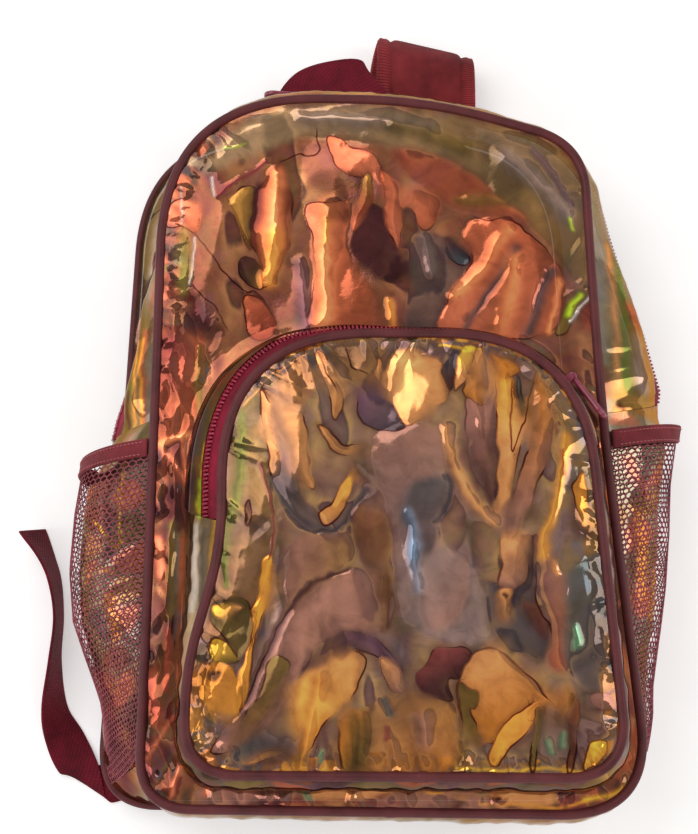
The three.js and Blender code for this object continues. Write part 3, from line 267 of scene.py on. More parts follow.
POCKET_POOLS = [
    ("olive", "bronze", 0, (240, 405, 262, 390, 272, 470, 272, 560, 250, 610, 222, 640, 205, 640, 222, 540,
        226, 460)),
    ("bronze", "amber", 0, (400, 693, 452, 700, 458, 730, 458, 768, 330, 768, 360, 712)),
    ("mauve", "lilac_grey", 0, (372, 440, 436, 426, 446, 480, 440, 540, 480, 580, 486, 640, 440, 640, 400,
        610, 390, 520)),
    ("mauve", "bronze", 0, (290, 545, 345, 535, 352, 560, 318, 585, 290, 612)),
    ("dark_brown", "bronze", 0, (327, 349, 391, 349, 391, 389, 361, 389, 341, 374)),
    ("bronze", "tan", 1, (276, 369, 282, 372, 287, 384, 285, 395, 280, 388)),
    ("tan", "pale_gold", 1, (291, 367, 289, 389, 295, 403, 301, 402, 305, 389, 303, 358, 298, 362)),
    ("dark_brown", "bronze", 1, (296, 362, 300, 358, 301, 385, 299, 392, 297, 380)),
    ("bronze", "tan", 1, (303, 356, 306, 368, 311, 386, 314, 381, 311, 365)),
    ("tan", "pale_gold", 1, (319, 349, 317, 362, 325, 378, 329, 403, 332, 420, 338, 416, 342, 395, 332, 371,
        325, 355)),
    ("tan", "tan", 1, (378, 356, 383, 367, 382, 381, 376, 374)),
    ("violet", "slate", 1, (360, 389, 389, 389, 391, 400, 402, 421, 405, 430, 393, 432, 376, 430, 360, 418,
        357, 406)),
    ("pale_gold", "tan", 1, (396, 350, 430, 356, 441, 361, 451, 380, 447, 400, 428, 414, 406, 428, 393, 404,
        389, 386)),
    ("bronze", "tan", 1, (262, 388, 270, 403, 278, 425, 288, 450, 294, 469, 303, 484, 314, 490, 313, 475,
        306, 433, 300, 412, 288, 402)),
    ("tan", "tan", 1, (260, 389, 262, 418, 266, 447, 272, 475, 281, 471, 279, 456, 273, 433, 270, 403)),
    ("tan", "bronze", 1, (316, 427, 329, 431, 342, 444, 358, 446, 366, 449, 347, 456, 335, 453, 325, 438)),
    ("slate", "slate", 0, (273, 470, 282, 462, 296, 480, 305, 500, 322, 515, 330, 532, 305, 527, 284, 503)),
    ("gold", "pale_gold", 1, (350, 476, 353, 491, 341, 515, 326, 527, 320, 515, 332, 503, 341, 488)),
    ("green", "green", 0, (240, 412, 246, 420, 244, 470, 240, 505, 230, 540, 226, 560, 224, 535, 233, 490,
        238, 440)),
    ("plum", "dark_brown", 1, (249, 500, 252, 510, 248, 527, 244, 520)),
    ("dark_brown", "slate", 0, (248, 519, 268, 520, 266, 534, 252, 538)),
    ("slate", "plum", 1, (446, 365, 444, 374, 450, 388, 455, 384, 458, 361, 455, 347)),
    ("yellow", "pale_gold", 1, (460, 348, 476, 347, 473, 368, 461, 387, 456, 387)),
    ("tan", "amber", 1, (476, 350, 483, 350, 488, 376, 486, 406, 483, 443, 467, 397, 467, 382)),
    ("mauve", "plum", 1, (486, 406, 495, 376, 498, 437, 495, 508, 487, 501, 467, 452, 466, 400)),
    ("gold", "pale_gold", 1, (498, 376, 513, 377, 518, 413, 527, 399, 522, 443, 510, 492, 499, 511, 496,
        506, 498, 437)),
    ("amber", "amber", 1, (492, 354, 495, 364, 504, 376, 516, 374, 521, 367, 507, 356)),
    ("teal", "dark_olive", 1, (518, 374, 522, 385, 522, 396, 527, 409, 522, 408, 518, 394)),
    ("amber", "mauve", 1, (535, 390, 541, 379, 551, 402, 553, 437, 544, 468, 522, 521, 507, 544, 506, 511,
        527, 460, 532, 422)),
    ("olive_gold", "olive", 0, (544, 381, 560, 398, 578, 434, 590, 468, 604, 544, 598, 544, 584, 480, 562,
        424)),
    ("amber", "gold", 1, (586, 472, 574, 483, 574, 498, 582, 523, 589, 526, 588, 506)),
    ("copper_brown", "plum", 0, (572, 500, 584, 526, 593, 530, 590, 540, 573, 536)),
    ("copper_brown", "dark_brown", 0, (352, 514, 385, 513, 392, 545, 392, 590, 380, 600, 362, 560)),
    ("teal", "slate", 0, (415, 483, 443, 478, 449, 491, 446, 508, 435, 523, 428, 560, 415, 575, 404, 548,
        400, 512)),
    ("lilac_grey", "mauve", 0, (421, 560, 464, 556, 468, 600, 450, 625, 425, 625)),
    ("mauve", "mauve", 1, (211, 753, 246, 702, 262, 661, 289, 616, 318, 588, 343, 572, 358, 569, 373, 581,
        380, 607, 380, 631, 346, 636, 316, 648, 305, 671, 289, 696, 267, 727, 243, 746)),
    ("olive", "bronze", 1, (276, 655, 290, 664, 279, 696, 254, 731, 233, 746, 247, 715, 265, 683, 267,
        664)),
    ("tan", "gold", 1, (367, 658, 346, 650, 333, 648, 322, 663, 305, 674, 295, 693, 294, 720, 300, 744, 292,
        763, 297, 771, 311, 747, 322, 728, 341, 709, 356, 688)),
    ("plum", "violet", 1, (304, 668, 320, 652, 335, 643, 344, 632, 372, 636, 392, 655, 400, 672, 385, 662,
        366, 652, 345, 650, 325, 660)),
    ("tan", "mauve", 1, (380, 661, 388, 659, 399, 671, 404, 691, 396, 693, 388, 683)),
    ("amber", "olive", 1, (341, 723, 356, 711, 367, 715, 371, 738, 366, 766, 340, 766)),
    ("dark_olive", "dark_olive", 1, (353, 722, 359, 726, 360, 745, 357, 766, 352, 766)),
    ("teal", "plum", 0, (244, 741, 280, 735, 292, 745, 292, 763, 250, 768, 232, 760)),
    ("tan", "bronze", 1, (244, 765, 262, 754, 282, 750, 276, 757)),
    ("gold", "gold", 1, (262, 560, 273, 560, 268, 600, 256, 630, 252, 655, 247, 700, 240, 713, 236, 690,
        246, 650, 248, 620, 258, 590)),
    ("amber", "gold", 1, (198, 669, 233, 667, 241, 714, 208, 711)),
    ("plum", "dark_brown", 1, (208, 672, 222, 674, 216, 682, 208, 678)),
    ("dark_olive", "olive", 1, (213, 602, 246, 600, 250, 640, 236, 660, 228, 645, 212, 620)),
    ("yellow", "pale_gold", 1, (213, 604, 240, 606, 238, 612, 222, 616, 214, 612)),
    ("yellow", "olive", 1, (210, 640, 226, 644, 238, 660, 212, 662)),
    ("dark_brown", "maroon", 0, (381, 575, 391, 585, 392, 620, 384, 628)),
    ("tan", "mauve", 1, (502, 538, 532, 538, 528, 577, 515, 591, 500, 589, 496, 583, 502, 564)),
    ("slate", "plum", 1, (486, 586, 497, 588, 502, 617, 511, 607, 512, 592, 528, 577, 532, 540, 539, 540,
        536, 578, 538, 607, 552, 632, 543, 658, 524, 655, 502, 642, 489, 623)),
    ("tan", "tan", 1, (499, 592, 512, 592, 510, 607, 502, 617)),
    ("copper_brown", "maroon", 0, (524, 606, 540, 604, 550, 630, 538, 636)),
    ("mauve", "copper", 0, (539, 540, 543, 556, 540, 585, 553, 629, 550, 661, 567, 671, 564, 636, 567, 588,
        556, 565)),
    ("teal", "slate", 0, (569, 572, 600, 560, 612, 620, 618, 690, 590, 692, 570, 672, 566, 620)),
    ("plum_red", "plum", 1, (435, 650, 453, 648, 469, 650, 469, 660, 461, 677, 449, 679, 453, 699, 424, 693,
        416, 674, 429, 663)),
    ("tan", "amber", 1, (494, 648, 505, 653, 528, 677, 548, 697, 532, 704, 512, 720, 494, 741, 476, 738,
        462, 720, 459, 683, 472, 655)),
    ("dark_olive", "olive", 1, (459, 684, 470, 688, 478, 693, 475, 709, 470, 710, 477, 731, 480, 737, 466,
        742, 466, 768, 460, 768, 462, 725)),
    ("orange", "gold", 1, (545, 699, 512, 717, 494, 741, 489, 762, 493, 766, 502, 760, 524, 733, 537, 720)),
    ("mauve", "mauve", 1, (591, 697, 606, 693, 620, 700, 616, 711, 597, 711)),
    ("yellow", "gold", 1, (588, 744, 606, 742, 600, 760, 585, 768)),
    ("amber", "bronze", 1, (559, 695, 572, 694, 573, 714, 562, 725, 556, 712)),
    ("dark_olive", "olive", 1, (536, 712, 544, 716, 540, 745, 536, 770, 532, 770)),
    ("copper_brown", "copper_brown", 1, (574, 699, 579, 712, 574, 768, 569, 768, 570, 722)),
]
POCKET_STREAKS = [
    ("pale_gold", 6, 0.7, (447, 430, 452, 462, 470, 498, 492, 523)),
    ("gold", 5, 0.8, (568, 437, 562, 473, 556, 500, 546, 530, 545, 556)),
    ("copper", 1.6, 0.9, (563, 450, 565, 475)), ("slate", 3, 0.8, (446, 478, 449, 491, 446, 508, 435, 523)),
    ("sky", 5, 0.35, (409, 514, 413, 535, 417, 557)), ("sky", 5, 0.3, (412, 546, 416, 575, 417, 592)),
    ("plum", 2.6, 0.85, (246, 704, 279, 629, 311, 586, 349, 571)),
    ("slate", 4, 0.85, (273, 478, 282, 499, 303, 525, 325, 531, 341, 527, 356, 506, 366, 490)),
    ("plum_red", 1.3, 0.9, (260, 462, 273, 515, 269, 560)),
    ("yellow", 1.6, 0.9, (606, 550, 614, 620, 620, 693)), ("green", 3, 0.8, (222, 553, 225, 585)),
    ("mint", 2.5, 0.8, (322, 752, 321, 762)), ("mint", 3, 0.7, (550, 742, 551, 752)),
    ("mint", 3, 0.7, (564, 733, 563, 745)), ("mint", 4, 0.7, (576, 628, 577, 645)),
    ("mauve", 8, 0.7, (422, 722, 424, 740)), ("plum_red", 2, 0.9, (386, 726, 388, 738)),
    ("teal", 3, 0.8, (383, 700, 388, 716)), ("pale_gold", 3, 0.9, (554, 562, 556, 575)),
    ("plum", 2, 1, (504, 596, 507, 598)), ("pale_gold", 1.2, 0.5, (243, 404, 262, 384, 284, 366, 310, 353)),
    ("orange", 6, 0.7, (320, 680, 312, 715, 303, 745)), ("yellow", 1.4, 0.9, (440, 345, 480, 349)),
    ("yellow", 1.5, 0.7, (456, 769, 500, 770, 583, 770)),
]
POCKET_LINES = [
    (513, 376, 510, 437, 513, 452, 527, 406, 535, 381), (475, 652, 492, 648, 508, 656, 547, 697),
    (319, 352, 326, 370, 333, 386), (345, 350, 352, 366, 365, 372),
]
GUSSET_POOLS = [
    ("olive_gold", "olive", 0, (600, 262, 622, 255, 642, 320, 668, 428, 608, 430)),
    ("copper", "olive_gold", 0, (622, 312, 642, 325, 668, 415, 652, 415, 634, 345)),
    ("slate", "lilac_grey", 0, (592, 190, 606, 200, 628, 258, 644, 322, 620, 300, 600, 240)),
]
GUSSET_STREAKS = [
    ("silver", 9, 0.6, (604, 215, 626, 270, 640, 320)), ("olive", 20, 1, (632, 335, 634, 375, 636, 422)),
    ("green", 5, 0.95, (614, 266, 617, 330, 620, 405)), ("tan", 3, 0.95, (603, 255, 608, 330, 611, 400)),
    ("copper", 7, 0.95, (624, 318, 640, 348, 656, 412)), ("lilac_grey", 6, 0.95, (633, 348, 636, 396)),
    ("olive_gold", 12, 0.9, (640, 345, 650, 380, 658, 416)), ("olive_gold", 9, 0.9, (612, 408, 640, 414)),
    ("orange", 6, 0.9, (612, 424, 632, 428)), ("maroon", 2, 0.9, (612, 416, 630, 434)),
    ("olive", 18, 1, (146, 335, 132, 380, 124, 430)), ("silver", 11, 0.8, (162, 210, 147, 300)),
    ("green", 8, 0.95, (128, 395, 114, 430)), ("red_copper", 5, 0.95, (137, 345, 124, 395)),
    ("copper", 4, 0.95, (150, 345, 147, 440)), ("gold", 1.6, 0.95, (141, 350, 138, 440)),
    ("gold", 1.6, 0.95, (147, 350, 145, 440)), ("maroon", 2, 0.9, (132, 400, 131, 440)),
    ("gold", 24, 1, (300, 88, 400, 84, 500, 100, 560, 125)),
]
NET_STREAKS = [
    ("yellow", 1.5, 0.9, (132, 458, 124, 500, 126, 545)),
    ("yellow", 1.5, 0.9, (94, 523, 118, 550, 128, 548)), ("pale_gold", 3, 0.9, (105, 572, 118, 576)),
    ("orange", 6, 0.7, (112, 600, 120, 640)), ("mint", 5, 0.6, (80, 520, 82, 590)),
    ("yellow", 3, 0.9, (654, 575, 648, 620)), ("orange", 6, 0.8, (632, 520, 636, 600)),
    ("olive_gold", 9, 0.9, (610, 415, 640, 418, 664, 420)), ("slate", 5, 0.7, (110, 520, 116, 560)),
    ("salmon", 5, 0.7, (620, 470, 640, 500)), ("bronze", 7, 0.6, (180, 814, 215, 816)),
    ("teal", 8, 0.5, (250, 818, 300, 820)), ("copper", 5, 0.5, (335, 821, 350, 822)),
    ("teal", 9, 0.6, (385, 822, 450, 822)), ("sky", 2, 0.3, (410, 824, 425, 825)),
    ("olive_gold", 6, 0.5, (490, 822, 520, 822)), ("maroon", 18, 1, (108, 740, 118, 780, 150, 815)),
    ("olive", 9, 1, (150, 431, 130, 435, 110, 445)),
]
WALL_STREAKS = [
    ("grey_olive", 10, 0.95, (203, 522, 198, 600, 188, 690)), ("silver", 3, 0.6, (197, 525, 193, 610)),
    ("teal", 2.5, 0.6, (205, 530, 200, 610)), ("yellow", 2, 0.95, (217, 522, 211, 575, 198, 645)),
    ("copper_brown", 9, 0.9, (290, 342, 250, 362, 226, 392)),
    ("olive", 9, 0.95, (226, 392, 210, 425, 202, 470, 201, 515)),
    ("yellow", 1.2, 0.9, (215, 410, 203, 455, 197, 510)), ("lime", 3, 0.8, (200, 480, 201, 515)),
]
FRONT_PICTURE = {"height": 94, "pools": FRONT_POOLS, "streaks": FRONT_STREAKS, "lines": FRONT_LINES}
POCKET_PICTURE = {"height": 121, "pools": POCKET_POOLS, "streaks": POCKET_STREAKS, "lines": POCKET_LINES}
GUSSET_PICTURE = {"height": 60, "pools": GUSSET_POOLS, "streaks": GUSSET_STREAKS, "lines": []}
NET_PICTURE = {"height": 60, "pools": [], "streaks": NET_STREAKS, "lines": []}
WALL_PICTURE = {"height": 106, "pools": [], "streaks": WALL_STREAKS, "lines": []}

# Crumpled film along a seam: from and to its share, reach, cell along and inward (mm), rise, and the tints of
# its painted reflections.
STRIP_TINTS = ("red_copper", "maroon", "copper", "plum_red", "red_copper", "copper", "plum", "salmon")
BOTTOM_TINTS = ("copper", "mauve", "bronze", "mauve", "plum_red", "tan")
CORNER_TINTS = ("slate", "salmon", "olive", "grey_olive", "grey_olive", "copper")
POCKET_TINTS = ("bronze", "gold", "dark_olive", "bronze", "olive_gold", "amber")
FRONT_CRUMPLE = [
    (0.5, 0.6, 15, 8, 14, 1.2, CORNER_TINTS), (0.6, 0.84, 44, 34, 16, 3.0, STRIP_TINTS),
    (0.83, 1.03, 30, 44, 16, 1.2, BOTTOM_TINTS), (0.02, 0.2, 22, 28, 12, 2.0, STRIP_TINTS),
]
POCKET_CRUMPLE = [
    (0.25, 0.5, 5, 7, 9, 0.5, POCKET_TINTS), (0.66, 0.8, 18, 14, 9, 1.6, POCKET_TINTS),
    (0.8, 1.0, 12, 9, 10, 1.2, POCKET_TINTS), (0.0, 0.2, 12, 12, 9, 1.0, POCKET_TINTS),
]
WALL_TINTS = ("copper", "maroon", "bronze", "copper_brown", "olive", "plum")
GUSSET_TINTS = ("salmon", "olive", "red_copper", "tan", "slate", "mauve", "copper", "olive_gold", "salmon")

# Gathers along a seam: their number, and the least and most of their place, length and rise.
FRONT_GATHERS = [
    (16, (0.17, 0.32), (12, 40), (0.3, 1.2)), (26, (0.5, 0.62), (10, 34), (0.3, 1.2)),
    (90, (0.62, 1.06), (8, 22), (0.5, 1.6)),
]
POCKET_GATHERS = [(46, (0.2, 0.62), (12, 40), (0.4, 1.5)), (60, (0.62, 1.2), (10, 30), (0.4, 1.5))]
GATHER_WIDTH = (2.6, 6.5)
GATHER_MARGIN = 12  # past a fold's end, where it no longer shows
GATHER_TURN = 0.4  # spread of the folds' directions, in radians
GATHER_CURVE = 0.004  # spread of their curvature
# Billows of a film: wavelength, rise. They are longer down the bag, and across the gusset.
FRONT_BILLOWS = [(62, 3.0), (28, 1.1), (13, 0.25)]
POCKET_BILLOWS = [(58, 2.8), (27, 1.1), (13, 0.25)]
GUSSET_BILLOWS = [(9, 1.0), (22, 1.4), (4, 0.35)]
PANEL_STRETCH = 0.55
GUSSET_STRETCH = 0.28

# Straps: x, y, z, direction of the width in degrees, share of the width and of the thickness.
RIGHT_STRAP = [
    (51, 211.3, 13, 0, 1, 0.5), (51, 232, 21, -2, 1, 1), (51, 260, 24.5, -12, 1, 1),
    (51, 270, 13.5, -15, 1, 1), (47, 256, 4.2, -12, 1, 1), (46, 225, 3.5, -3, 1, 1),
    (48, 120, 3.5, 2, 1, 1), (56, 40, 3.5, 5, 0.96, 1), (61, 4, 3.5, 8, 0.8, 1),
    (63.6, -24, 3.5, 12, 0.46, 1),
]
LEFT_STRAP = [
    (-44, 211.3, 13, 0, 1, 0.5), (-44, 216, 14.2, 0, 1, 0.7), (-44, 221, 9.2, 0, 1, 0.8),
    (-44, 214, 3.6, 0, 1, 1), (-44, 198, 3.5, 0, 1, 1), (-50, 100, 3.5, -2, 1, 1), (-60, 15, 3.5, -7, 1, 1),
    (-74, -70, 3.5, -13, 0.92, 1), (-84, -106, 3.5, -17, 0.76, 1), (-92, -130, 3.5, -24, 0.46, 1),
]
# Ladder locks: x, y, heading. The webbing turns round their bar: ahead of the slot, height.
LEFT_BUCKLE = (-100, -145.7, 240)
RIGHT_BUCKLE = (68.6, -41.7, 290)
BUCKLE_TURN = [(10, 6.3), (4, 6.4), (0.2, 3.5), (4, 0.8), (10, 0.8)]


def round_bar(buckle):
    """The webbing's rows where it turns round a ladder lock's bar."""
    x, y, heading = buckle
    angle = math.radians(heading)
    way = (math.cos(angle), math.sin(angle))
    return [(x + ahead * way[0], y + ahead * way[1], z, heading - 90, 0, 1) for ahead, z in BUCKLE_TURN]


# Webbing: x, y, z, direction of the width, its lean in degrees and its stretch at a fold.
LEFT_WEBBING = [
    (-141, -191, 6.2, 135, 0, 1), (-122, -174, 6.2, 138, 0, 1), *round_bar(LEFT_BUCKLE),
    (-114, -171, 0.8, 152, 0, 1), (-123, -189, 0.8, 150, 0, 1), (-132, -202, 0.8, 132, 0, 1),
    (-147, -209, 0.8, 114, 0, 1), (-160, -210, 1.9, 146, 0, 1.25), (-165, -201, 3.2, 196, 0, 1),
    (-174, -183, 5, 206, 18, 1), (-180, -166, 10.9, 198, 58, 1), (-181, -136, 12.5, 182, 86, 1),
    (-180, -108, 12.5, 176, 89, 1), (-184, -84, 12.4, 190, 80, 1), (-190, -70, 12.3, 200, 75, 1),
    (-199, -54.5, 10.9, 200, 56, 1),
]
RIGHT_WEBBING = [
    (141, -191, 6.2, 206, 0, 1), (122, -150, 4, 206, 0, 1), (92, -92, 4, 204, 0, 1), *round_bar(RIGHT_BUCKLE),
    (92, -92, 0.8, 204, 0, 1), (116, -140, 0.8, 206, 0, 1),
]
HAUL_LOOP = [
    (-38, 212, 22, 0, 0, 1), (-37, 226, 27, -12, 0, 1), (-27, 238, 31, -48, 0, 1),
    (-6, 243.5, 32.5, -80, 0, 1), (9, 243, 33, -94, 0, 1), (21, 237.5, 31.6, -42, 0, 1.35),
    (22, 227, 29.6, -4, 0, 1), (26, 212, 22, 0, 0, 1),
]
LABEL = {"x": -10, "y": 158, "wide": 30, "tall": 21}
LABEL_SEEN = (-8, 137)  # about where the label is seen through the front film
LABEL_WINDOW = (26, 20)  # half the size of the clear place over it
LABEL_LIFT = 0.6
LABEL_THICK = 0.35
LABEL_RIPPLE = 0.12
# How much shows through the films: all over, near the edge, and over the label.
FRONT_CLEAR = (0.08, 0.12, 0.75)
POCKET_CLEAR = (0.1, 0.2)

# Pulls: pivot, direction of the tab and hinge axis, in the frame's metres.
PULLS = {
    "pocket_pull": ((0.130703, -0.002013, 0.108044), (0.601, -0.799, 0.0), (-0.27234, -0.20477, 0.94016)),
    "main_pull": ((-0.021713, 0.196664, 0.056201), (-1.0, 0.014, 0.0), (0.00141, 0.12686, -0.99192)),
}
PULL = {"eye": 1.35, "ring": 2.6, "neck": 2.1, "thick": 3.0, "shoulder": 9, "length": 31, "half": 6.5}
# Rings of a pull from its rim inwards: inset and share of the half thickness.
PULL_RINGS = [(0, 0.35), (0.3, 0.85), (0.7, 1), (1.3, 1), (1.8, 0.5), (2, 0.42)]

# The camera: the picture's size in pixels, its focal length, and the eye's place in the sewing coordinates.
PICTURE = (698, 834)
FOCAL_PIXELS = 1538.46
SENSOR = 36.0
ELEVATION = math.radians(77)
DISTANCE = 900
AIM = np.array([0.0, 0.0, 92.0])
SIGHT = np.array([0.0, math.cos(ELEVATION), -math.sin(ELEVATION)])
SIGHT_UP = np.array([0.0, math.sin(ELEVATION), math.cos(ELEVATION)])
EYE = AIM - DISTANCE * SIGHT

# Lamps: place, target, size and power, in the frame's metres.
LAMPS = {
    "overhead": ((-0.75, 0.6, 1.35), (0, 0, 0), (1.2, 1.2), 8),
    "left_box": ((-1.5, -0.3, 0.8), (0, 0, 0.1), (0.6, 1.4), 5),
    "right_strip": ((1.2, 0.1, 0.9), (0, 0, 0.1), (0.4, 1.2), 4),
    "low_fill": ((0.1, -1.3, 1.0), (0, 0, 0.1), (1.2, 0.5), 4),
}
ROOM_COLOUR = (1.0, 0.97, 0.94)
ROOM_STRENGTH = 0.47
FLOOR_HALF = 3.0
SEED_STEP = 17.3


# Points and noise

def seen(pixels, height):
    """Where the sight lines through some pixels meet a level plane: x, y."""
    place = np.asarray(pixels, float).reshape(-1, 2) - np.array(PICTURE) / 2
    ray = FOCAL_PIXELS * SIGHT - place[:, 1:] * SIGHT_UP
    ray[:, 0] += place[:, 0]
    return (EYE + ray * (height - EYE[2]) / ray[:, 2:])[:, :2]


def metres(points):
    """Places in the frame."""
    return (np.asarray(points, float) - ORIGIN) * MM


def xyz(x, y, z):
    """Points from their coordinates, which may be arrays or single values."""
    return np.stack(np.broadcast_arrays(x, y, z), axis=-1)


def unit(vectors):
    return vectors / np.linalg.norm(vectors, axis=-1, keepdims=True)


def smoothstep(low, high, values):
    share = np.clip((values - low) / (high - low), 0, 1)
    return share * share * (3 - 2 * share)


def grain(points, wavelength, seed):
    """Smooth noise from -1 to 1 at each point."""
    place = points.reshape(-1, 3) / wavelength + seed * SEED_STEP
    return np.array([noise.noise(Vector(p)) for p in place]).reshape(points.shape[:-1])


def between(at, places, values):
    """Rows of values, read between the places that they belong to."""
    return np.stack([np.interp(at, places, line) for line in np.transpose(values)], axis=-1)


def column(rows, k, at):
    """A table's column k, read between the places in its first column."""
    table = np.array(rows, float)
    return np.interp(at, table[:, 0], table[:, k])


def path_lengths(points):
    steps = np.linalg.norm(np.diff(points, axis=0), axis=-1)
    return np.concatenate([[0], np.cumsum(steps)])


def bend(start, corner, end, count):
    """A quadratic curve from start to end that heads for a corner at both ends."""
    share = np.linspace(0, 1, count)[:, None]
    return (1 - share) ** 2 * start + 2 * share * (1 - share) * corner + share ** 2 * end


def surface_normal(surface, along, across, step):
    """Unit normals of a surface given as a function of two shares."""
    over = surface(along, across + step) - surface(along, across - step)
    forward = surface(along + step, across) - surface(along - step, across)
    return unit(np.cross(forward, over))


# Meshes

def make_piece(name, points, faces, material, stands_for=None, body="bag"):
    """A piece from points in the sewing coordinates, riding on a body and shown in place of a CAD node."""
    mesh = bpy.data.meshes.new(name)
    faces = faces.tolist() if isinstance(faces, np.ndarray) else faces
    mesh.from_pydata(metres(points).reshape(-1, 3).tolist(), [], faces)
    mesh.polygons.foreach_set("use_smooth", [True] * len(mesh.polygons))
    mesh.validate()
    mesh.update()
    mesh.materials.append(material)
    piece = bpy.data.objects.new(name, mesh)
    bpy.context.collection.objects.link(piece)
    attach(piece, body)
    if stands_for:
        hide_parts(stands_for)
    return piece


LAYER_FIELDS = {"FLOAT": "value", "FLOAT_VECTOR": "vector", "FLOAT_COLOR": "color"}


def set_layer(piece, name, kind, values):
    """Stores a value for each of a mesh's points, for its material to read."""
    layer = piece.data.attributes.new(name, kind, "POINT")
    layer.data.foreach_set(LAYER_FIELDS[kind], np.asarray(values, np.float32).ravel())


def grid_faces(rows, columns, wrap_rows=False, wrap_columns=False):
    """Quads of a grid of points stored row by row."""
    row = np.arange(rows if wrap_rows else rows - 1)
    col = np.arange(columns if wrap_columns else columns - 1)
    i, j = [side.ravel() for side in np.meshgrid(row, col, indexing="ij")]
    i2 = (i + 1) % rows
    j2 = (j + 1) % columns
    return np.stack([i * columns + j, i * columns + j2, i2 * columns + j2, i2 * columns + j], axis=1)


def tube_faces(rings, sides, closed=False):
    """Faces of a tube of rings, with a cap at each end unless it closes on itself."""
    faces = grid_faces(rings, sides, wrap_rows=closed, wrap_columns=True).tolist()
    if not closed:
        faces.append(list(range(sides))[::-1])
        faces.append(list(range((rings - 1) * sides, rings * sides)))
    return faces


# Seams

class Seam:
    """A closed sewing line, read by the share of its length."""

    BEND_POINTS = 60
    NEAR = 0.0012
    SEARCH_POINTS = 4000

    def __init__(self, corners, height):
        places = np.array(corners, float)[:, :2]
        line = []
        for i, (_, _, reach) in enumerate(corners):
            here = places[i]
            before = places[i - 1]
            after = places[(i + 1) % len(places)]
            enter, leave = [here + unit(place - here) * reach for place in (before, after)]
            line.append(bend(enter, here, leave, self.BEND_POINTS))
        self.line = np.concatenate([*line, line[0][:1]])
        lengths = path_lengths(self.line)
        self.length = lengths[-1]
        self.shares = lengths / self.length
        self.height = height

    def plan(self, along):
        return between(along % 1, self.shares, self.line)

    def point(self, along):
        plan = self.plan(along)
        x = plan[..., 0]
        y = plan[..., 1]
        return xyz(x, y, self.height(x, y))

    def out(self, along):
        """The level direction away from the seam's inside."""
        tangent = unit(self.plan(along + self.NEAR) - self.plan(along - self.NEAR))
        return xyz(tangent[..., 1], -tangent[..., 0], 0.0)

    def inset(self, along, distance):
        """Places in plan at a distance inside the seam."""
        return self.plan(along) - self.out(along)[..., :2] * distance

    def nearest(self, x, y):
        """The share of the seam's point nearest a place."""
        along = np.linspace(0, 1, self.SEARCH_POINTS, endpoint=False)
        return along[np.argmin(np.linalg.norm(self.plan(along) - [x, y], axis=-1))]


def apart(along, place):
    """How far shares of a closed seam lie from a place on it, the shorter way round."""
    return np.abs((along - place + 0.5) % 1 - 0.5)


def front_seam_height(x, y):
    return FRONT_HEIGHT + FRONT_END_RISE * ((y - FRONT_MIDDLE_Y) / FRONT_HALF_LENGTH) ** 2


front_seam = Seam(FRONT_CORNERS, front_seam_height)
back_seam = Seam(BACK_CORNERS, lambda x, y: BACK_HEIGHT)
pocket_seam = Seam(POCKET_CORNERS, lambda x, y: POCKET_HEIGHT)
pocket_base = Seam(POCKET_BASE_CORNERS, lambda x, y: front_seam_height(x, y) + FILM_GAP)


def gusset_point(along, across):
    """The gusset's middle surface: across runs from the back seam 0 to the front seam 1."""
    along, across = np.broadcast_arrays(along, across)
    front = front_seam.point(along)
    back = back_seam.point(along)
    out = front_seam.out(along)
    chord = front - back
    left, right = [column(SIDE_REACH, k, front[..., 1]) for k in (1, 2)]
    side = np.where(out[..., 0] > 0, right, left)
    ends = np.where(out[..., 1] > 0, TOP_REACH, BOTTOM_REACH)
    reach = side * out[..., 0] ** 2 + ends * out[..., 1] ** 2
    bow = 4 * (reach + (chord * out).sum(-1) / 2)
    return back + chord * across[..., None] + out * (bow * across * (1 - across))[..., None]


def gusset_normal(along, across):
    return surface_normal(gusset_point, along, across, 0.004)


def gusset_pace(along, across):
    """How many millimetres a whole share across the gusset would be, at the pace of one place."""
    step = 0.002
    span = gusset_point(along, across + step) - gusset_point(along, across - step)
    return np.linalg.norm(span, axis=-1) / (2 * step)


def side_at(side, y):
    """The place along the front seam where one of its sides reaches a given y."""
    along = np.linspace(*SIDE_SPAN[side], 3000)
    return along[np.argmin(np.abs(front_seam.plan(along)[:, 1] - y))]


# Sections carried along a path

def sweep(name, stations, section, material, stands_for, closed=False, wide=1.0, thick=1.0):
    """A section (across, up) carried along centres; the layer weave holds millimetres across and along."""
    centres, across, up = stations
    section = np.array(section)
    count = len(centres)
    reach = section[:, 0] * np.broadcast_to(wide, count)[:, None]
    rise = section[:, 1] * np.broadcast_to(thick, count)[:, None]
    points = centres[:, None] + across[:, None] * reach[..., None] + up[:, None] * rise[..., None]
    piece = make_piece(name, points, tube_faces(count, len(section), closed), material, stands_for)
    set_layer(piece, "weave", "FLOAT_VECTOR", xyz(reach, path_lengths(centres)[:, None], 0.0))
    return piece


def mirrored(right):
    """A closed section from its right half, which starts and ends on the middle line."""
    return right + [(-x, y) for x, y in right[::-1]][1:-1]


def flat_section(width, thickness, columns, rounding):
    """A flat strip's section with soft edges, starting in the middle of its underside."""
    flat = width / 2 - rounding
    edge = np.linspace(0, flat, columns)
    turn = np.linspace(-math.pi / 2, math.pi / 2, 7)[1:-1]
    rim = [(flat + rounding * math.cos(t), thickness / 2 * math.sin(t)) for t in turn]
    return mirrored([(x, -thickness / 2) for x in edge] + rim + [(x, thickness / 2) for x in edge[::-1]])


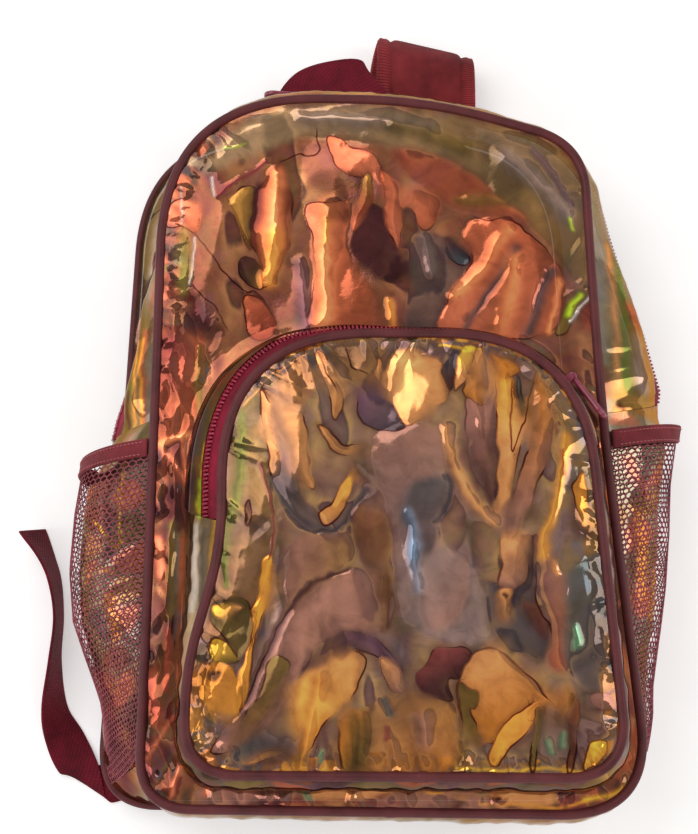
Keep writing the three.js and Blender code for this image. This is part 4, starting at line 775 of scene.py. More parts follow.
def pad_section():
    """A padded strap's section: a crowned middle, and a groove and a flat bound edge on each side of it."""
    half = STRAP_WIDTH / 2
    thick = STRAP_THICK / 2
    seam = half - STRAP_BOUND
    groove_half = 1.6
    groove_depth = 0.8
    rib_rise = 0.15
    lip = 0.5
    x = np.concatenate([np.linspace(0, seam - 3, 9), np.linspace(seam - 2, half - 1.2, 16)])
    inner = np.clip((seam - x) / 6, 0, 1)
    crown = thick * (0.62 + 0.38 * np.sqrt(1 - (1 - inner) ** 2))
    over_bound = np.abs((x - half + STRAP_BOUND / 2) / (STRAP_BOUND * 0.56))
    edge = thick * 0.6 * np.clip(1 - over_bound ** 5, 0, 1) + lip
    top = np.where(x < seam, crown, np.minimum(edge, thick * 0.9))
    top += rib_rise * np.cos((x - seam) * math.pi / RIB_PITCH) * (x > seam + groove_half / 2)
    top -= groove_depth * np.exp(-(((x - seam) / groove_half) ** 2))
    return mirrored([*zip(x, -top), (half, -lip), (half, lip), *zip(x[::-1], top[::-1])])


def extended(points):
    """Points with one more at each end, straight on."""
    return np.concatenate([2 * points[:1] - points[1:2], points, 2 * points[-1:] - points[-2:-1]])


def centripetal(places, steps):
    """A centripetal Catmull-Rom curve through places, with some steps from each to the next."""
    held = extended(places)
    spans = len(places) - 1
    result = []
    for place in np.linspace(0, spans, spans * steps + 1):
        k = min(int(place), spans - 1)
        w = place - k
        v = held[k:k + 4]
        d0, d1, d2 = [max(np.linalg.norm(v[i + 1] - v[i]) ** 0.5, 1e-4) for i in range(3)]
        t1 = ((v[1] - v[0]) / d0 - (v[2] - v[0]) / (d0 + d1) + (v[2] - v[1]) / d1) * d1
        t2 = ((v[2] - v[1]) / d1 - (v[3] - v[1]) / (d1 + d2) + (v[3] - v[2]) / d2) * d1
        c2 = -3 * v[1] + 3 * v[2] - 2 * t1 - t2
        c3 = 2 * v[1] - 2 * v[2] + t1 + t2
        result.append(v[1] + t1 * w + c2 * w * w + c3 * w ** 3)
    return np.array(result)


def strip_stations(rows, steps, width, thickness, leans):
    """A strip's stations and its last two columns: lean and stretch, or the shares of width and thickness."""
    rows = np.array(rows, float)
    turn = np.radians(rows[:, 3])
    tilt = np.radians(rows[:, 4]) if leans else 0 * turn
    across = xyz(np.cos(turn) * np.cos(tilt), np.sin(turn) * np.cos(tilt), np.sin(tilt))
    if leans:
        across *= rows[:, 5:]
    centres = centripetal(rows[:, :3], steps)
    at = np.linspace(0, len(rows) - 1, len(centres))
    number = np.arange(len(rows))
    reach = steps // 2
    padded = np.pad(between(at, number, across), ((reach, reach), (0, 0)), mode="edge")
    kernel = np.ones(2 * reach + 1) / (2 * reach + 1)
    widths = np.stack([np.convolve(line, kernel, "valid") for line in padded.T], axis=1)
    up = unit(np.cross(widths, unit(np.gradient(centres, axis=0))))
    below = (np.abs(widths[:, 2]) * width + np.abs(up[:, 2]) * thickness) / 2
    centres[:, 2] = np.maximum(centres[:, 2], below)
    return (centres, widths, up), between(at, number, rows[:, 4:]).T


# Materials

def feed(tree, socket, value):
    """Links a socket to an output, or sets its value. A colour needs no alpha."""
    if isinstance(value, bpy.types.NodeSocket):
        tree.links.new(value, socket)
    else:
        socket.default_value = (*value, 1.0) if socket.type == "RGBA" else value


def node(tree, kind, inputs=None, **settings):
    """Adds a node with some settings and inputs."""
    made = tree.nodes.new(kind)
    for key, value in settings.items():
        setattr(made, key, value)
    for key, value in (inputs or {}).items():
        feed(tree, made.inputs[key], value)
    return made


def calc(tree, operation, a, b=0.0, clamp=False):
    return node(tree, "ShaderNodeMath", {0: a, 1: b}, operation=operation, use_clamp=clamp).outputs[0]


def ramp(tree, value, stops):
    """A colour ramp; a stop is a place and a colour or a grey."""
    made = node(tree, "ShaderNodeValToRGB", {"Fac": value})
    elements = made.color_ramp.elements
    while len(elements) < len(stops):
        elements.new(0.5)
    for element, (place, colour) in zip(elements, stops):
        element.position = place
        shade = colour if isinstance(colour, tuple) else (colour, colour, colour)
        element.color = (*shade, 1.0)
    return made.outputs["Color"]


def mix(tree, share, first, second, blend="MIX"):
    inputs = {0: share, 6: first, 7: second}
    return node(tree, "ShaderNodeMix", inputs, data_type="RGBA", blend_type=blend).outputs[2]


def new_material(name):
    material = bpy.data.materials.new(name)
    material.use_nodes = True
    tree = material.node_tree
    return material, tree, tree.nodes["Principled BSDF"]


def set_shader(tree, shader, **inputs):
    for key, value in inputs.items():
        feed(tree, shader.inputs[key.replace("_", " ")], value)


def object_place(tree):
    return node(tree, "ShaderNodeTexCoord").outputs["Object"]


def attribute(tree, name, output):
    return node(tree, "ShaderNodeAttribute", attribute_name=name).outputs[output]


def noise_value(tree, place, scale, detail=3.0, rough=0.55, warp=0.0):
    inputs = {"Vector": place, "Scale": scale, "Detail": detail, "Roughness": rough, "Distortion": warp}
    return node(tree, "ShaderNodeTexNoise", inputs).outputs["Fac"]


def wave(tree, weave, scale, direction, warp=0.0):
    """Bands across a strip's weave; scale stretches it across and along."""
    place = node(tree, "ShaderNodeMapping", {"Vector": weave, "Scale": (*scale, 1)}).outputs[0]
    inputs = {"Vector": place, "Scale": 1.0, "Distortion": warp, "Detail": 1.0}
    return node(tree, "ShaderNodeTexWave", inputs, bands_direction=direction).outputs["Fac"]


def bump(tree, height, distance, strength):
    inputs = {"Height": height, "Distance": distance, "Strength": strength}
    return node(tree, "ShaderNodeBump", inputs).outputs["Normal"]


def dyed(tree, dye, colour, dark, light, light_at):
    """A colour that uneven dye makes darker and lighter."""
    shades = [tuple(min(1.0, share * part) for part in colour) for share in (dark, 1.0, light)]
    return ramp(tree, dye, list(zip((0.25, 0.5, light_at), shades)))


# Painted reflection colours of the films by how they lean, and their mottling: place in a ramp, colour.
FRONT_SHEEN = [
    (0.0, (0.05, 0.018, 0.028)), (0.18, (0.13, 0.028, 0.026)), (0.34, (0.29, 0.07, 0.042)),
    (0.5, (0.46, 0.135, 0.066)), (0.6, (0.76, 0.29, 0.12)), (0.63, (0.13, 0.03, 0.034)),
    (0.7, (0.32, 0.085, 0.048)), (0.82, (0.28, 0.15, 0.058)), (1.0, (0.18, 0.15, 0.17)),
]
POCKET_SHEEN = [
    (0.0, (0.12, 0.07, 0.08)), (0.2, (0.27, 0.15, 0.15)), (0.33, (0.42, 0.24, 0.2)),
    (0.36, (0.16, 0.08, 0.07)), (0.43, (0.33, 0.16, 0.11)), (0.54, (0.52, 0.28, 0.16)),
    (0.62, (0.85, 0.47, 0.18)), (0.65, (0.16, 0.08, 0.09)), (0.73, (0.38, 0.22, 0.2)),
    (0.86, (0.42, 0.24, 0.12)), (1.0, (0.19, 0.18, 0.2)),
]
GUSSET_SHEEN = [
    (0.0, (0.1, 0.03, 0.025)), (0.3, (0.28, 0.1, 0.05)), (0.5, (0.3, 0.18, 0.07)), (0.64, (0.18, 0.15, 0.05)),
    (0.8, (0.3, 0.22, 0.11)), (1.0, (0.36, 0.32, 0.24)),
]
MOTTLE = [
    (0.32, (0.16, 0.07, 0.1)), (0.44, (0.3, 0.13, 0.06)), (0.52, (0.26, 0.2, 0.07)), (0.6, (0.3, 0.16, 0.15)),
    (0.7, (0.18, 0.21, 0.26)),
]


def film_material(name, sheen, lean, see_through, edge_tint):
    """Clear film with a metal sheen. Its colours are painted reflections that follow how it leans, painted
    lighter and darker by the same lean, under painted reflections with dark edges.
    """
    material, tree, shader = new_material(name)
    place = object_place(tree)
    normal = node(tree, "ShaderNodeNewGeometry").outputs["Normal"]
    # Painted reflection: how far the film leans towards the given way picks its colour.
    tilt = node(tree, "ShaderNodeVectorMath", {0: normal, 1: lean}, operation="DOT_PRODUCT").outputs["Value"]
    broad = noise_value(tree, place, 14, 2.0, 0.5, 0.5)
    fine = noise_value(tree, place, 55, 3.0, 0.5, 0.6)
    crinkle = noise_value(tree, place, 120, 2.0, 0.5, 0.4)
    band = calc(tree, "ADD", calc(tree, "MULTIPLY", tilt, 2.2), broad, clamp=True)
    mottled = ramp(tree, noise_value(tree, place, 24, 3.0, 0.55, 1.2), MOTTLE)
    colour = mix(tree, 0.3, ramp(tree, band, sheen), mottled)

    # Painted light and shade on the laid reflections, by how the film leans.
    lit = ramp(tree, band, [(0.1, 0.6), (0.58, 1.25), (0.66, 0.8), (0.95, 0.9)])
    lit = mix(tree, 1.0, attribute(tree, "patch", "Color"), lit, "MULTIPLY")
    colour = mix(tree, attribute(tree, "patch", "Alpha"), colour, lit)

    # Painted dark edges of the reflections, which come and go.
    sway = calc(tree, "MULTIPLY", calc(tree, "SUBTRACT", fine, 0.5), 0.8)
    rim = calc(tree, "ABSOLUTE", calc(tree, "ADD", attribute(tree, "rim", "Fac"), sway))
    line = ramp(tree, rim, [(0.25, (0.22, 0.07, 0.08)), (0.8, 1.0)])
    shown = ramp(tree, noise_value(tree, place, 30, 1.0), [(0.4, 0.3), (0.6, 1.0)])
    colour = mix(tree, shown, colour, mix(tree, 1.0, colour, line, "MULTIPLY"))
    cloudy = ramp(tree, noise_value(tree, place, 70, 4.0, 0.6, 0.8), [(0.3, 0.72), (0.5, 1.0), (0.7, 1.2)])
    colour = mix(tree, 1.0, colour, cloudy, "MULTIPLY")

    gone = calc(tree, "MULTIPLY", attribute(tree, "clear", "Fac"), see_through)
    set_shader(
        tree, shader, Base_Color=colour, Metallic=0.8, Roughness=ramp(tree, fine, [(0.3, 0.05), (0.7, 0.12)]),
        Alpha=calc(tree, "SUBTRACT", 1.0, gone, clamp=True), Coat_Weight=0.08, Coat_Roughness=0.04, IOR=1.5,
        Specular_Tint=edge_tint, Normal=bump(tree, crinkle, 0.0004, 0.15),
    )
    return material


def cloth_material(name, colour, weave_scale, twill, sheen=0.06, roughness=0.75, ribbed=False):
    """Woven cloth: threads across and along the strip, with uneven dye."""
    material, tree, shader = new_material(name)
    weave = attribute(tree, "weave", "Vector")
    place = object_place(tree)
    ribs = wave(tree, weave, (weave_scale, weave_scale * twill), "DIAGONAL", 0.6)
    picks = wave(tree, weave, (0.2, weave_scale), "Y", 0.4)
    threads = calc(tree, "MULTIPLY", ribs, picks)
    if ribbed:
        bars = wave(tree, weave, (0.02, RIB_SCALE), "Y")
        bound = attribute(tree, "ribbed", "Fac")
        rest = calc(tree, "MULTIPLY", threads, calc(tree, "SUBTRACT", 1.0, bound))
        threads = calc(tree, "ADD", rest, calc(tree, "MULTIPLY", bars, bound))
    worn = dyed(tree, noise_value(tree, place, 45, 4.0, 0.6), colour, 0.45, 1.45, 0.78)
    # Partly the weave's pattern and partly painted shade between the threads.
    shade = mix(tree, 0.55, worn, ramp(tree, threads, [(0.0, 0.35), (0.55, 1.0), (1.0, 1.25)]), "MULTIPLY")
    fuzz = calc(tree, "MULTIPLY", noise_value(tree, place, 900, 2.0, 0.6), 0.4)
    set_shader(
        tree, shader, Base_Color=shade, Roughness=roughness, Sheen_Weight=sheen, Sheen_Roughness=0.4,
        Specular_IOR_Level=0.2, Normal=bump(tree, calc(tree, "ADD", threads, fuzz), 0.0004, 0.8),
    )
    return material


def plastic_material(name, colour, roughness, grain_scale, coat, depth=0.0002, rounded=0.0, gloss=0.5):
    """Moulded or coated plastic with a fine grain and slight wear."""
    material, tree, shader = new_material(name)
    place = object_place(tree)
    dye = noise_value(tree, place, 60, 4.0, 0.6)
    uneven = ramp(tree, dye, [(0.2, roughness * 0.8), (0.8, min(1.0, roughness * 1.25))])
    normal = bump(tree, noise_value(tree, place, grain_scale, 2.0, 0.6), depth, 0.6)
    if rounded:
        soft = node(tree, "ShaderNodeBevel", {"Radius": rounded}, samples=6).outputs["Normal"]
        tree.links.new(soft, normal.node.inputs["Normal"])
    set_shader(
        tree, shader, Base_Color=dyed(tree, dye, colour, 0.6, 1.3, 0.8), Roughness=uneven, Coat_Weight=coat,
        Coat_Roughness=0.25, Normal=normal, Specular_IOR_Level=gloss,
    )
    return material


film_front = film_material("film_front", FRONT_SHEEN, (0.8, 0.45, 0.0), 0.65, (0.9, 0.72, 0.6))
film_pocket = film_material("film_pocket", POCKET_SHEEN, (0.85, 0.3, 0.0), 0.5, (0.9, 0.75, 0.6))
film_gusset = film_material("film_gusset", GUSSET_SHEEN, (0.15, 0.15, 0.45), 0.7, (0.62, 0.4, 0.2))
piping_vinyl = plastic_material("piping_vinyl", (0.115, 0.024, 0.027), 0.45, 500, 0.0, gloss=0.25)
zip_tape = cloth_material("zip_tape", (0.36, 0.008, 0.04), 0.55, 1.0)
zip_teeth = plastic_material("zip_teeth", (0.34, 0.012, 0.045), 0.34, 700, 0.3)
slider_enamel = plastic_material("slider_enamel", (0.27, 0.025, 0.06), 0.3, 500, 0.5, 0.0001, 0.0006)
net_yarn = cloth_material("net_yarn", (0.46, 0.11, 0.14), 0.8, 1.0)
binding_cloth = cloth_material("binding_cloth", (0.27, 0.036, 0.046), 0.45, 0.6)
webbing_weave = cloth_material("webbing_weave", (0.2, 0.008, 0.024), 0.25, 0.8)
strap_knit = cloth_material("strap_knit", (0.28, 0.032, 0.038), 0.5, 0.5, 0.04, 0.85, ribbed=True)
pad_cloth = cloth_material("pad_cloth", (0.26, 0.04, 0.06), 0.3, 1.0)
label_cloth = cloth_material("label_cloth", (0.03, 0.028, 0.035), 0.5, 1.0, 0.1)
thread = plastic_material("thread", (0.4, 0.09, 0.1), 0.6, 900, 0.0)
buckle_plastic = plastic_material("buckle_plastic", (0.2, 0.02, 0.05), 0.4, 400, 0.2, 0.0002, 0.0008)


# Painted reflections on a film

def tint(name):
    return FILM_GAIN * np.array(TINTS[name]) ** FILM_CONTRAST


def smooth_line(points, closed):
    """A curve through a few points, in short straight steps."""
    points = np.concatenate([points[-1:], points, points[:2]]) if closed else extended(points)
    share = np.linspace(0, 1, 5, endpoint=False)[:, None]
    line = []
    for a, b, c, d in zip(points[:-3], points[1:-2], points[2:-1], points[3:]):
        curve = 2 * a - 5 * b + 4 * c - d + share * (3 * (b - c) + d - a)
        line.append(b + 0.5 * share * (c - a + share * curve))
    return np.concatenate([*line, points[-2:-1]])


def line_distance(x, y, line):
    """Distance from a line, signed by its side, and whether the line runs round each place."""
    away = np.full(len(x), 1e9)
    signed = away.copy()
    inside = np.zeros(len(x), bool)
    for (x0, y0), (x1, y1) in zip(line[:-1], line[1:]):
        long = x1 - x0
        high = y1 - y0
        share = np.clip(((x - x0) * long + (y - y0) * high) / (long ** 2 + high ** 2 + 1e-9), 0, 1)
        here = np.hypot(x - x0 - share * long, y - y0 - share * high)
        right = (x - x0) * high - (y - y0) * long > 0
        closer = here < away
        away = np.where(closer, here, away)
        signed = np.where(closer, np.where(right, here, -here), signed)
        if y0 != y1:
            inside ^= ((y0 > y) != (y1 > y)) & (x < long * (y - y0) / high + x0)
    return signed, inside


def cells(u, v, seed):
    """Distances to the nearest and the next of points strewn on a unit grid, and the nearest one's lot."""
    size = 32
    strewn = np.random.default_rng(seed).random((size, size, 3))
    row = np.floor(u).astype(int)
    col = np.floor(v).astype(int)
    nearest = np.full(len(u), 9.0)
    second = nearest.copy()
    lot = np.zeros(len(u))
    for r in (row - 1, row, row + 1):
        for c in (col - 1, col, col + 1):
            point = strewn[r % size, c % size]
            away = np.hypot(r + point[:, 0] - u, c + point[:, 1] - v)
            closer = away < nearest
            second = np.where(closer, nearest, np.minimum(second, away))
            lot = np.where(closer, point[:, 2], lot)
            nearest = np.where(closer, away, nearest)
    return nearest, second, lot


class Paint:
    """Painted reflections and shade laid over each other on a film, the dark lines between them and the
    height of the folds.
    """

    DARK = 0.31  # a tint whose parts add up to less lies in a valley
    POOL_RISE = 0.4
    STREAK_RISE = 0.16  # of a streak's half width
    # The way from which the pools are painted lit.
    LIT = unit(np.array([-0.8, 0.6]))
    SHARP = 0.6  # half the width of an edge that isn't feathered
    SOFT = 4.0  # the same for a pool with no line
    SHOWN = 0.95
    WARP = 1.8  # of the outlines, in broad waves
    FEATHER = 8  # of the softest edges
    POOL_MARGIN = 9
    LINE_MARGIN = 6
    LINED = 0.9  # strength of a pool with a line, and of one without
    UNLINED = 0.7
    SLOPE = 0.24  # how much lighter a pool is painted on its lit side
    RING_SHADE = 0.3  # painted shade just outside a pool's line, and how far it goes
    RING_SHADE_REACH = 2.6
    CREST_REACH = 5  # from a pool's edge up to its full rise
    CELL = 0.7  # strength of a crumpled cell

    def __init__(self, plan, seed):
        flat = xyz(plan[:, 0], plan[:, 1], 0.0)
        self.x = plan[:, 0] + self.WARP * grain(flat, 15, seed) + grain(flat, 6, seed + 3)
        self.y = plan[:, 1] + self.WARP * grain(flat, 15, seed + 1) + grain(flat, 6, seed + 4)
        self.soft = self.SHARP + self.FEATHER * smoothstep(-0.1, 0.4, grain(flat, 24, seed + 2))
        self.colour = np.zeros((len(plan), 3))
        self.strength = np.zeros(len(plan))
        self.rim = np.full(len(plan), 9.0)
        self.relief = np.zeros(len(plan))

    def show(self, picture):
        height = picture["height"]
        for first, last, lined, pixels in picture["pools"]:
            self.pool(first, last, lined, seen(pixels, height))
        for name, half, strength, pixels in picture["streaks"]:
            line = smooth_line(seen(pixels, height), False)
            self.streak(name, half * DISTANCE / FOCAL_PIXELS, strength, line)
        for pixels in picture["lines"]:
            self.line(smooth_line(seen(pixels, height), False))

    def near(self, line, margin):
        """The numbers of the places in a box round a line."""
        low = line.min(axis=0) - margin
        high = line.max(axis=0) + margin
        return np.nonzero((self.x > low[0]) & (self.x < high[0]) & (self.y > low[1]) & (self.y < high[1]))[0]

    def lay(self, near, fill, weight):
        self.colour[near] = self.colour[near] * (1 - weight[:, None]) + fill * weight[:, None]
        self.strength[near] += weight * (1 - self.strength[near])

    def fold(self, near, name, rise):
        """A bright tint lies on a crest, and a dark one in a valley."""
        self.relief[near] += rise if tint(name).sum() > self.DARK else -rise

    def pool(self, first, last, lined, corners):
        line = smooth_line(corners, True)
        near = self.near(line, self.POOL_MARGIN)
        x = self.x[near]
        y = self.y[near]
        soft = self.soft[near] if lined else self.SOFT
        signed, inside = line_distance(x, y, line)
        depth = np.where(inside, np.abs(signed), -np.abs(signed))
        axis = corners[len(corners) // 2] - corners[0]
        share = (x - corners[0, 0]) * axis[0] + (y - corners[0, 1]) * axis[1]
        share = np.clip(share / (axis @ axis), 0, 1)[:, None]
        fill = tint(first) * (1 - share) + tint(last) * share
        if lined:
            middle = corners.mean(axis=0)
            lit = (x - middle[0]) * self.LIT[0] + (y - middle[1]) * self.LIT[1]
            lit = np.clip(lit / (0.5 * np.ptp(corners @ self.LIT)), -1, 1)
            # Painted light: a pool is lighter towards its middle and on its lit side.
            fill = fill * ((0.9 + 0.14 * smoothstep(0, 6, depth)) * (1 + self.SLOPE * lit))[:, None]
            # Painted shade just outside a pool's line.
            ring_shade = self.RING_SHADE * np.exp(-((np.minimum(depth, 0) / self.RING_SHADE_REACH) ** 2))
            self.lay(near, tint("plum"), ring_shade)
            old = self.rim[near]
            edge = depth + np.where(depth > 0, 1, -1) * (soft - self.SHARP)
            self.rim[near] = np.where((depth > 0) | (np.abs(edge) < np.abs(old)), edge, old)
        self.lay(near, fill, (self.LINED if lined else self.UNLINED) * smoothstep(-soft, soft, depth))
        self.fold(near, first, self.POOL_RISE * (1 - np.exp(-np.maximum(depth, 0) / self.CREST_REACH)))

    def streak(self, name, half, strength, line):
        near = self.near(line, 3 * half)
        signed, _ = line_distance(self.x[near], self.y[near], line)
        shape = np.exp(-((signed / half) ** 2))
        self.lay(near, tint(name), strength * shape)
        self.fold(near, name, self.STREAK_RISE * half * shape)

    def line(self, line):
        near = self.near(line, self.LINE_MARGIN)
        signed, _ = line_distance(self.x[near], self.y[near], line)
        self.rim[near] = np.where(np.abs(signed) < np.abs(self.rim[near]), signed, self.rim[near])

    def crumple(self, u, v, weight, rise, tints, seed):
        """Cells of crumpled film, each painted with a reflection tint and with shade, over sharp valleys
        between pillows.
        """
        nearest, second, lot = cells(u, v, seed)
        shown = np.nonzero(lot < weight)[0]
        # The lot's later digits pick the tint and how lit the cell is painted; a cell is painted darker
        # towards its edge, as shade in the valleys.
        pick = np.array([tint(name) for name in tints])[(lot[shown] * 97 % 1 * len(tints)).astype(int)]
        shade = 0.7 + 0.5 * (lot[shown] * 31 % 1) + 0.5 * (0.5 - nearest[shown])
        inner = smoothstep(0.0, 0.2, second[shown] - nearest[shown])
        self.lay(shown, pick * shade[:, None], self.CELL * inner)
        if rise:
            place = xyz(u, v, 0.0)
            coarse = 0.5 - 1.6 * np.abs(grain(place, 1.1, seed))
            self.relief += weight * rise * (coarse + 0.15 - 0.45 * np.abs(grain(place, 0.5, seed + 1)))

    def dress(self, piece, clear):
        """Stores the layers that a film's material reads: the painted reflections and shade, their dark
        lines, and clear, how much shows through.
        """
        colour = self.colour / np.maximum(self.strength, 1e-3)[:, None]
        set_layer(piece, "patch", "FLOAT_COLOR", np.column_stack([colour, self.SHOWN * self.strength]))
        set_layer(piece, "rim", "FLOAT", self.rim)
        set_layer(piece, "clear", "FLOAT", clear)


# Film panels

def coons_grid(seam, corners, u, v):
    """A grid inside a seam: its four sides run between the seam's points nearest four corners."""
    right, top, left, bottom = [seam.nearest(x, y) for x, y, _ in corners]

    def side(start, end, shares):
        return seam.inset(start + (end - start) % 1 * shares, FILM_INSET)

    right_side = side(right, top, v)
    top_side = side(top, left, 1 - u[::-1])[::-1]
    left_side = side(left, bottom, 1 - v[::-1])[::-1]
    bottom_side = side(bottom, right, u)
    u = u[:, None]
    v = v[:, None, None]
    blend = (1 - v) * bottom_side + v * top_side + (1 - u) * left_side[:, None] + u * right_side[:, None]
    below = (1 - u) * bottom_side[0] + u * bottom_side[-1]
    above = (1 - u) * top_side[0] + u * top_side[-1]
    return (blend - (1 - v) * below - v * above).reshape(-1, 2)


def seam_place(plan, seam):
    """Each place's distance from the edge of a film in a seam, and the share of the seam that it lies at."""
    along = np.linspace(0, 1, 1400, endpoint=False)
    rim = seam.inset(along, FILM_INSET)
    tree = KDTree(len(rim))
    for i, (x, y) in enumerate(rim):
        tree.insert((x, y, 0), i)
    tree.balance()
    found = [tree.find((x, y, 0)) for x, y in plan]
    return np.array([hit[2] for hit in found]), along[[hit[1] for hit in found]]


def gathers(x, y, seam, rows, draw):
    """Short folds with sharp crests that run in from a seam, narrow where they are sewn."""
    height = np.zeros(len(x))
    for count, span, length, rise in rows:
        for along in draw.uniform(*span, count):
            start = seam.plan(along)
            inward = -seam.out(along)[:2]
            turn = draw.normal(0, GATHER_TURN)
            across = np.array([-inward[1], inward[0]])
            way = inward * math.cos(turn) + across * math.sin(turn)
            reach = draw.uniform(*length)
            width = draw.uniform(*GATHER_WIDTH)
            tall = draw.uniform(*rise)
            curve = draw.normal(0, GATHER_CURVE)
            near = np.nonzero(np.hypot(x - start[0], y - start[1]) < reach + GATHER_MARGIN)[0]
            right = x[near] - start[0]
            ahead = right * way[0] + (y[near] - start[1]) * way[1]
            side = (y[near] - start[1]) * way[0] - right * way[1] - curve * ahead ** 2
            share = np.clip(ahead / reach, 0, 1)
            shape = tall * np.clip(share * 7, 0, 1) * (1 - share) ** 1.1
            height[near] += shape * np.clip(1 - np.abs(side) / (width * (0.6 + 1.2 * share)), 0, 1) ** 1.3
    return height


def billow(x, y, seed, waves):
    """Broad folds made of waves of some lengths and rises."""
    flat = xyz(x, y, 0.0)
    return sum(rise * grain(flat, wavelength, seed + i) for i, (wavelength, rise) in enumerate(waves))


def panel_folds(x, y, edge, folds, seam, rows, seed):
    """A panel's folds and the gathers along its seam, which all fade out at its edge."""
    short = gathers(x, y, seam, rows, np.random.default_rng(seed))
    return folds * smoothstep(0, FOLD_FADE, edge) + short * smoothstep(0, GATHER_FADE, edge)


def front_shape(x, y, edge, relief):
    """Heights of the front film, which lies flat under the pocket."""
    foot = np.concatenate([pocket_base.line[::8], pocket_base.line[:1]])
    signed, inside = line_distance(x, y, foot)
    free = smoothstep(0, 9, np.where(inside, -1, np.abs(signed)))
    folds = (relief + billow(x, PANEL_STRETCH * y, 3, FRONT_BILLOWS)) * free
    return front_seam_height(x, y) + panel_folds(x, y, edge, folds, front_seam, FRONT_GATHERS, 11)


def pocket_shape(x, y, edge, relief):
    """Heights of the pocket's film, which is crowned."""
    crown = POCKET_CROWN * (1 - (1 - np.clip(edge / CROWN_REACH, 0, 1)) ** 2)
    folds = relief + billow(x, PANEL_STRETCH * y, 21, POCKET_BILLOWS)
    return POCKET_HEIGHT + crown + panel_folds(x, y, edge, folds, pocket_seam, POCKET_GATHERS, 23)


def front_clear(x, y, edge):
    """How clear the front film is: more so along its top edge and over the label."""
    everywhere, at_edge, over_label = FRONT_CLEAR
    label = np.hypot((x - LABEL_SEEN[0]) / LABEL_WINDOW[0], (y - LABEL_SEEN[1]) / LABEL_WINDOW[1])
    band = at_edge * (1 - smoothstep(10, 30, edge)) * smoothstep(60, 100, y)
    return np.maximum(everywhere + band, over_label * (1 - smoothstep(0.7, 1.0, label)))


def pocket_clear(x, y, edge):
    everywhere, at_edge = POCKET_CLEAR
    return everywhere + at_edge * (1 - smoothstep(6, 20, edge))


def film_panel(name, seam, corners, u, v, shape, picture, crumples, clear, material, seed, stands_for):
    """A film sewn in along a closed seam."""
    plan = coons_grid(seam, corners, u, v)
    edge, along = seam_place(plan, seam)
    paint = Paint(plan, seed)
    for k, (low, high, reach, cell_along, cell_in, rise, tints) in enumerate(crumples):
        off = apart(along, (low + high) / 2) - (high - low) / 2
        weight = (1 - smoothstep(-0.02, 0.005, off)) * (1 - smoothstep(0.45 * reach, reach, edge))
        paint.crumple(along * seam.length / cell_along, edge / cell_in, weight, rise, tints, seed + 7 + k)
    paint.show(picture)
    x, y = plan.T
    points = xyz(x, y, shape(x, y, edge, paint.relief))
    piece = make_piece(name, points, grid_faces(len(v), len(u)), material, stands_for)
    paint.dress(piece, clear(x, y, edge))
    return piece


front_rows = np.concatenate([np.linspace(0, 0.6, 150, endpoint=False), np.linspace(0.6, 1, 225)])
front_film = film_panel(
    "front_film", front_seam, [FRONT_CORNERS[k] for k in (0, 2, 4, 5)], np.linspace(0, 1, 262), front_rows,
    shape=front_shape, picture=FRONT_PICTURE, crumples=FRONT_CRUMPLE, clear=front_clear, material=film_front,
    seed=41, stands_for="front_panel",
)
pocket_film = film_panel(
    "pocket_film", pocket_seam, [POCKET_CORNERS[k] for k in (0, 1, 2, 5)], np.linspace(0, 1, 300),
    np.linspace(0, 1, 325), shape=pocket_shape, picture=POCKET_PICTURE, crumples=POCKET_CRUMPLE,
    clear=pocket_clear, material=film_pocket, seed=51, stands_for="pocket_front",
)


# Piping

def piping(name, seam, join, stands_for):
    """A covered cord along a seam, with a wrapped joint at a place in plan."""
    along = np.linspace(0, 1, 720, endpoint=False)
    away = apart(along, seam.nearest(*join)) * seam.length
    sleeve = 1 - smoothstep(JOIN_HALF - 0.3, JOIN_HALF + 0.3, away)
    swell = 1 + JOIN_SWELL * sleeve - JOIN_PINCH * np.exp(-(((away - JOIN_HALF) / 0.6) ** 2))
    angle = np.linspace(0, 2 * math.pi, 16, endpoint=False)
    section = PIPING_RADIUS * np.stack([np.cos(angle), np.sin(angle)], axis=1)
    stations = (seam.point(along), seam.out(along), np.tile(UP, (len(along), 1)))
    sweep(name, stations, section, piping_vinyl, stands_for, True, swell, swell)


piping("front_cord", front_seam, (23, -226), "front_piping")
piping("back_cord", back_seam, (23, -222), "back_piping")
piping("pocket_cord", pocket_seam, (40, -206), "pocket_piping")


# Gusset strips

def strip_measure(grid):
    """Distances along a strip of points and across it."""
    lengths = path_lengths(grid[:, grid.shape[1] // 2])
    widths = np.cumsum(np.linalg.norm(np.diff(grid, axis=1, prepend=grid[:, :1]), axis=-1), axis=1)
    return np.broadcast_to(lengths[:, None], widths.shape), widths


def grid_piece(name, grid, material, stands_for):
    """A strip of cloth or film from a grid of points."""
    piece = make_piece(name, grid, grid_faces(*grid.shape[:2]), material, stands_for)
    lengths, widths = strip_measure(grid)
    set_layer(piece, "weave", "FLOAT_VECTOR", xyz(widths, lengths, 0.0))
    return piece


def gusset_grid(along, low, high, columns):
    """Points of a strip of the gusset, from one line across it to another, and their shares across."""
    share = np.linspace(0, 1, columns)
    across = low[:, None] * (1 - share) + high[:, None] * share
    return gusset_point(along[:, None], across), across


def dress_film(piece, grids, cell, tints, weight, picture, seed, clear):
    """Crumpled cells of painted reflection over a film of one or more strips, and the picture's painted
    streaks over them.
    """
    points = np.concatenate([grid.reshape(-1, 3) for grid in grids])
    paint = Paint(points[:, :2], seed)
    measures = [strip_measure(grid) for grid in grids]
    lengths, widths = [np.concatenate([measure[k].ravel() for measure in measures]) for k in (0, 1)]
    weights = np.broadcast_to(weight, len(points))
    paint.crumple(lengths / cell[0], widths / cell[1], weights, 0, tints, seed + 5)
    paint.show(picture)
    # Less shows through the lower half of the bag.
    paint.dress(piece, clear * (0.25 + 0.75 * smoothstep(5, 85, points[:, 1])))


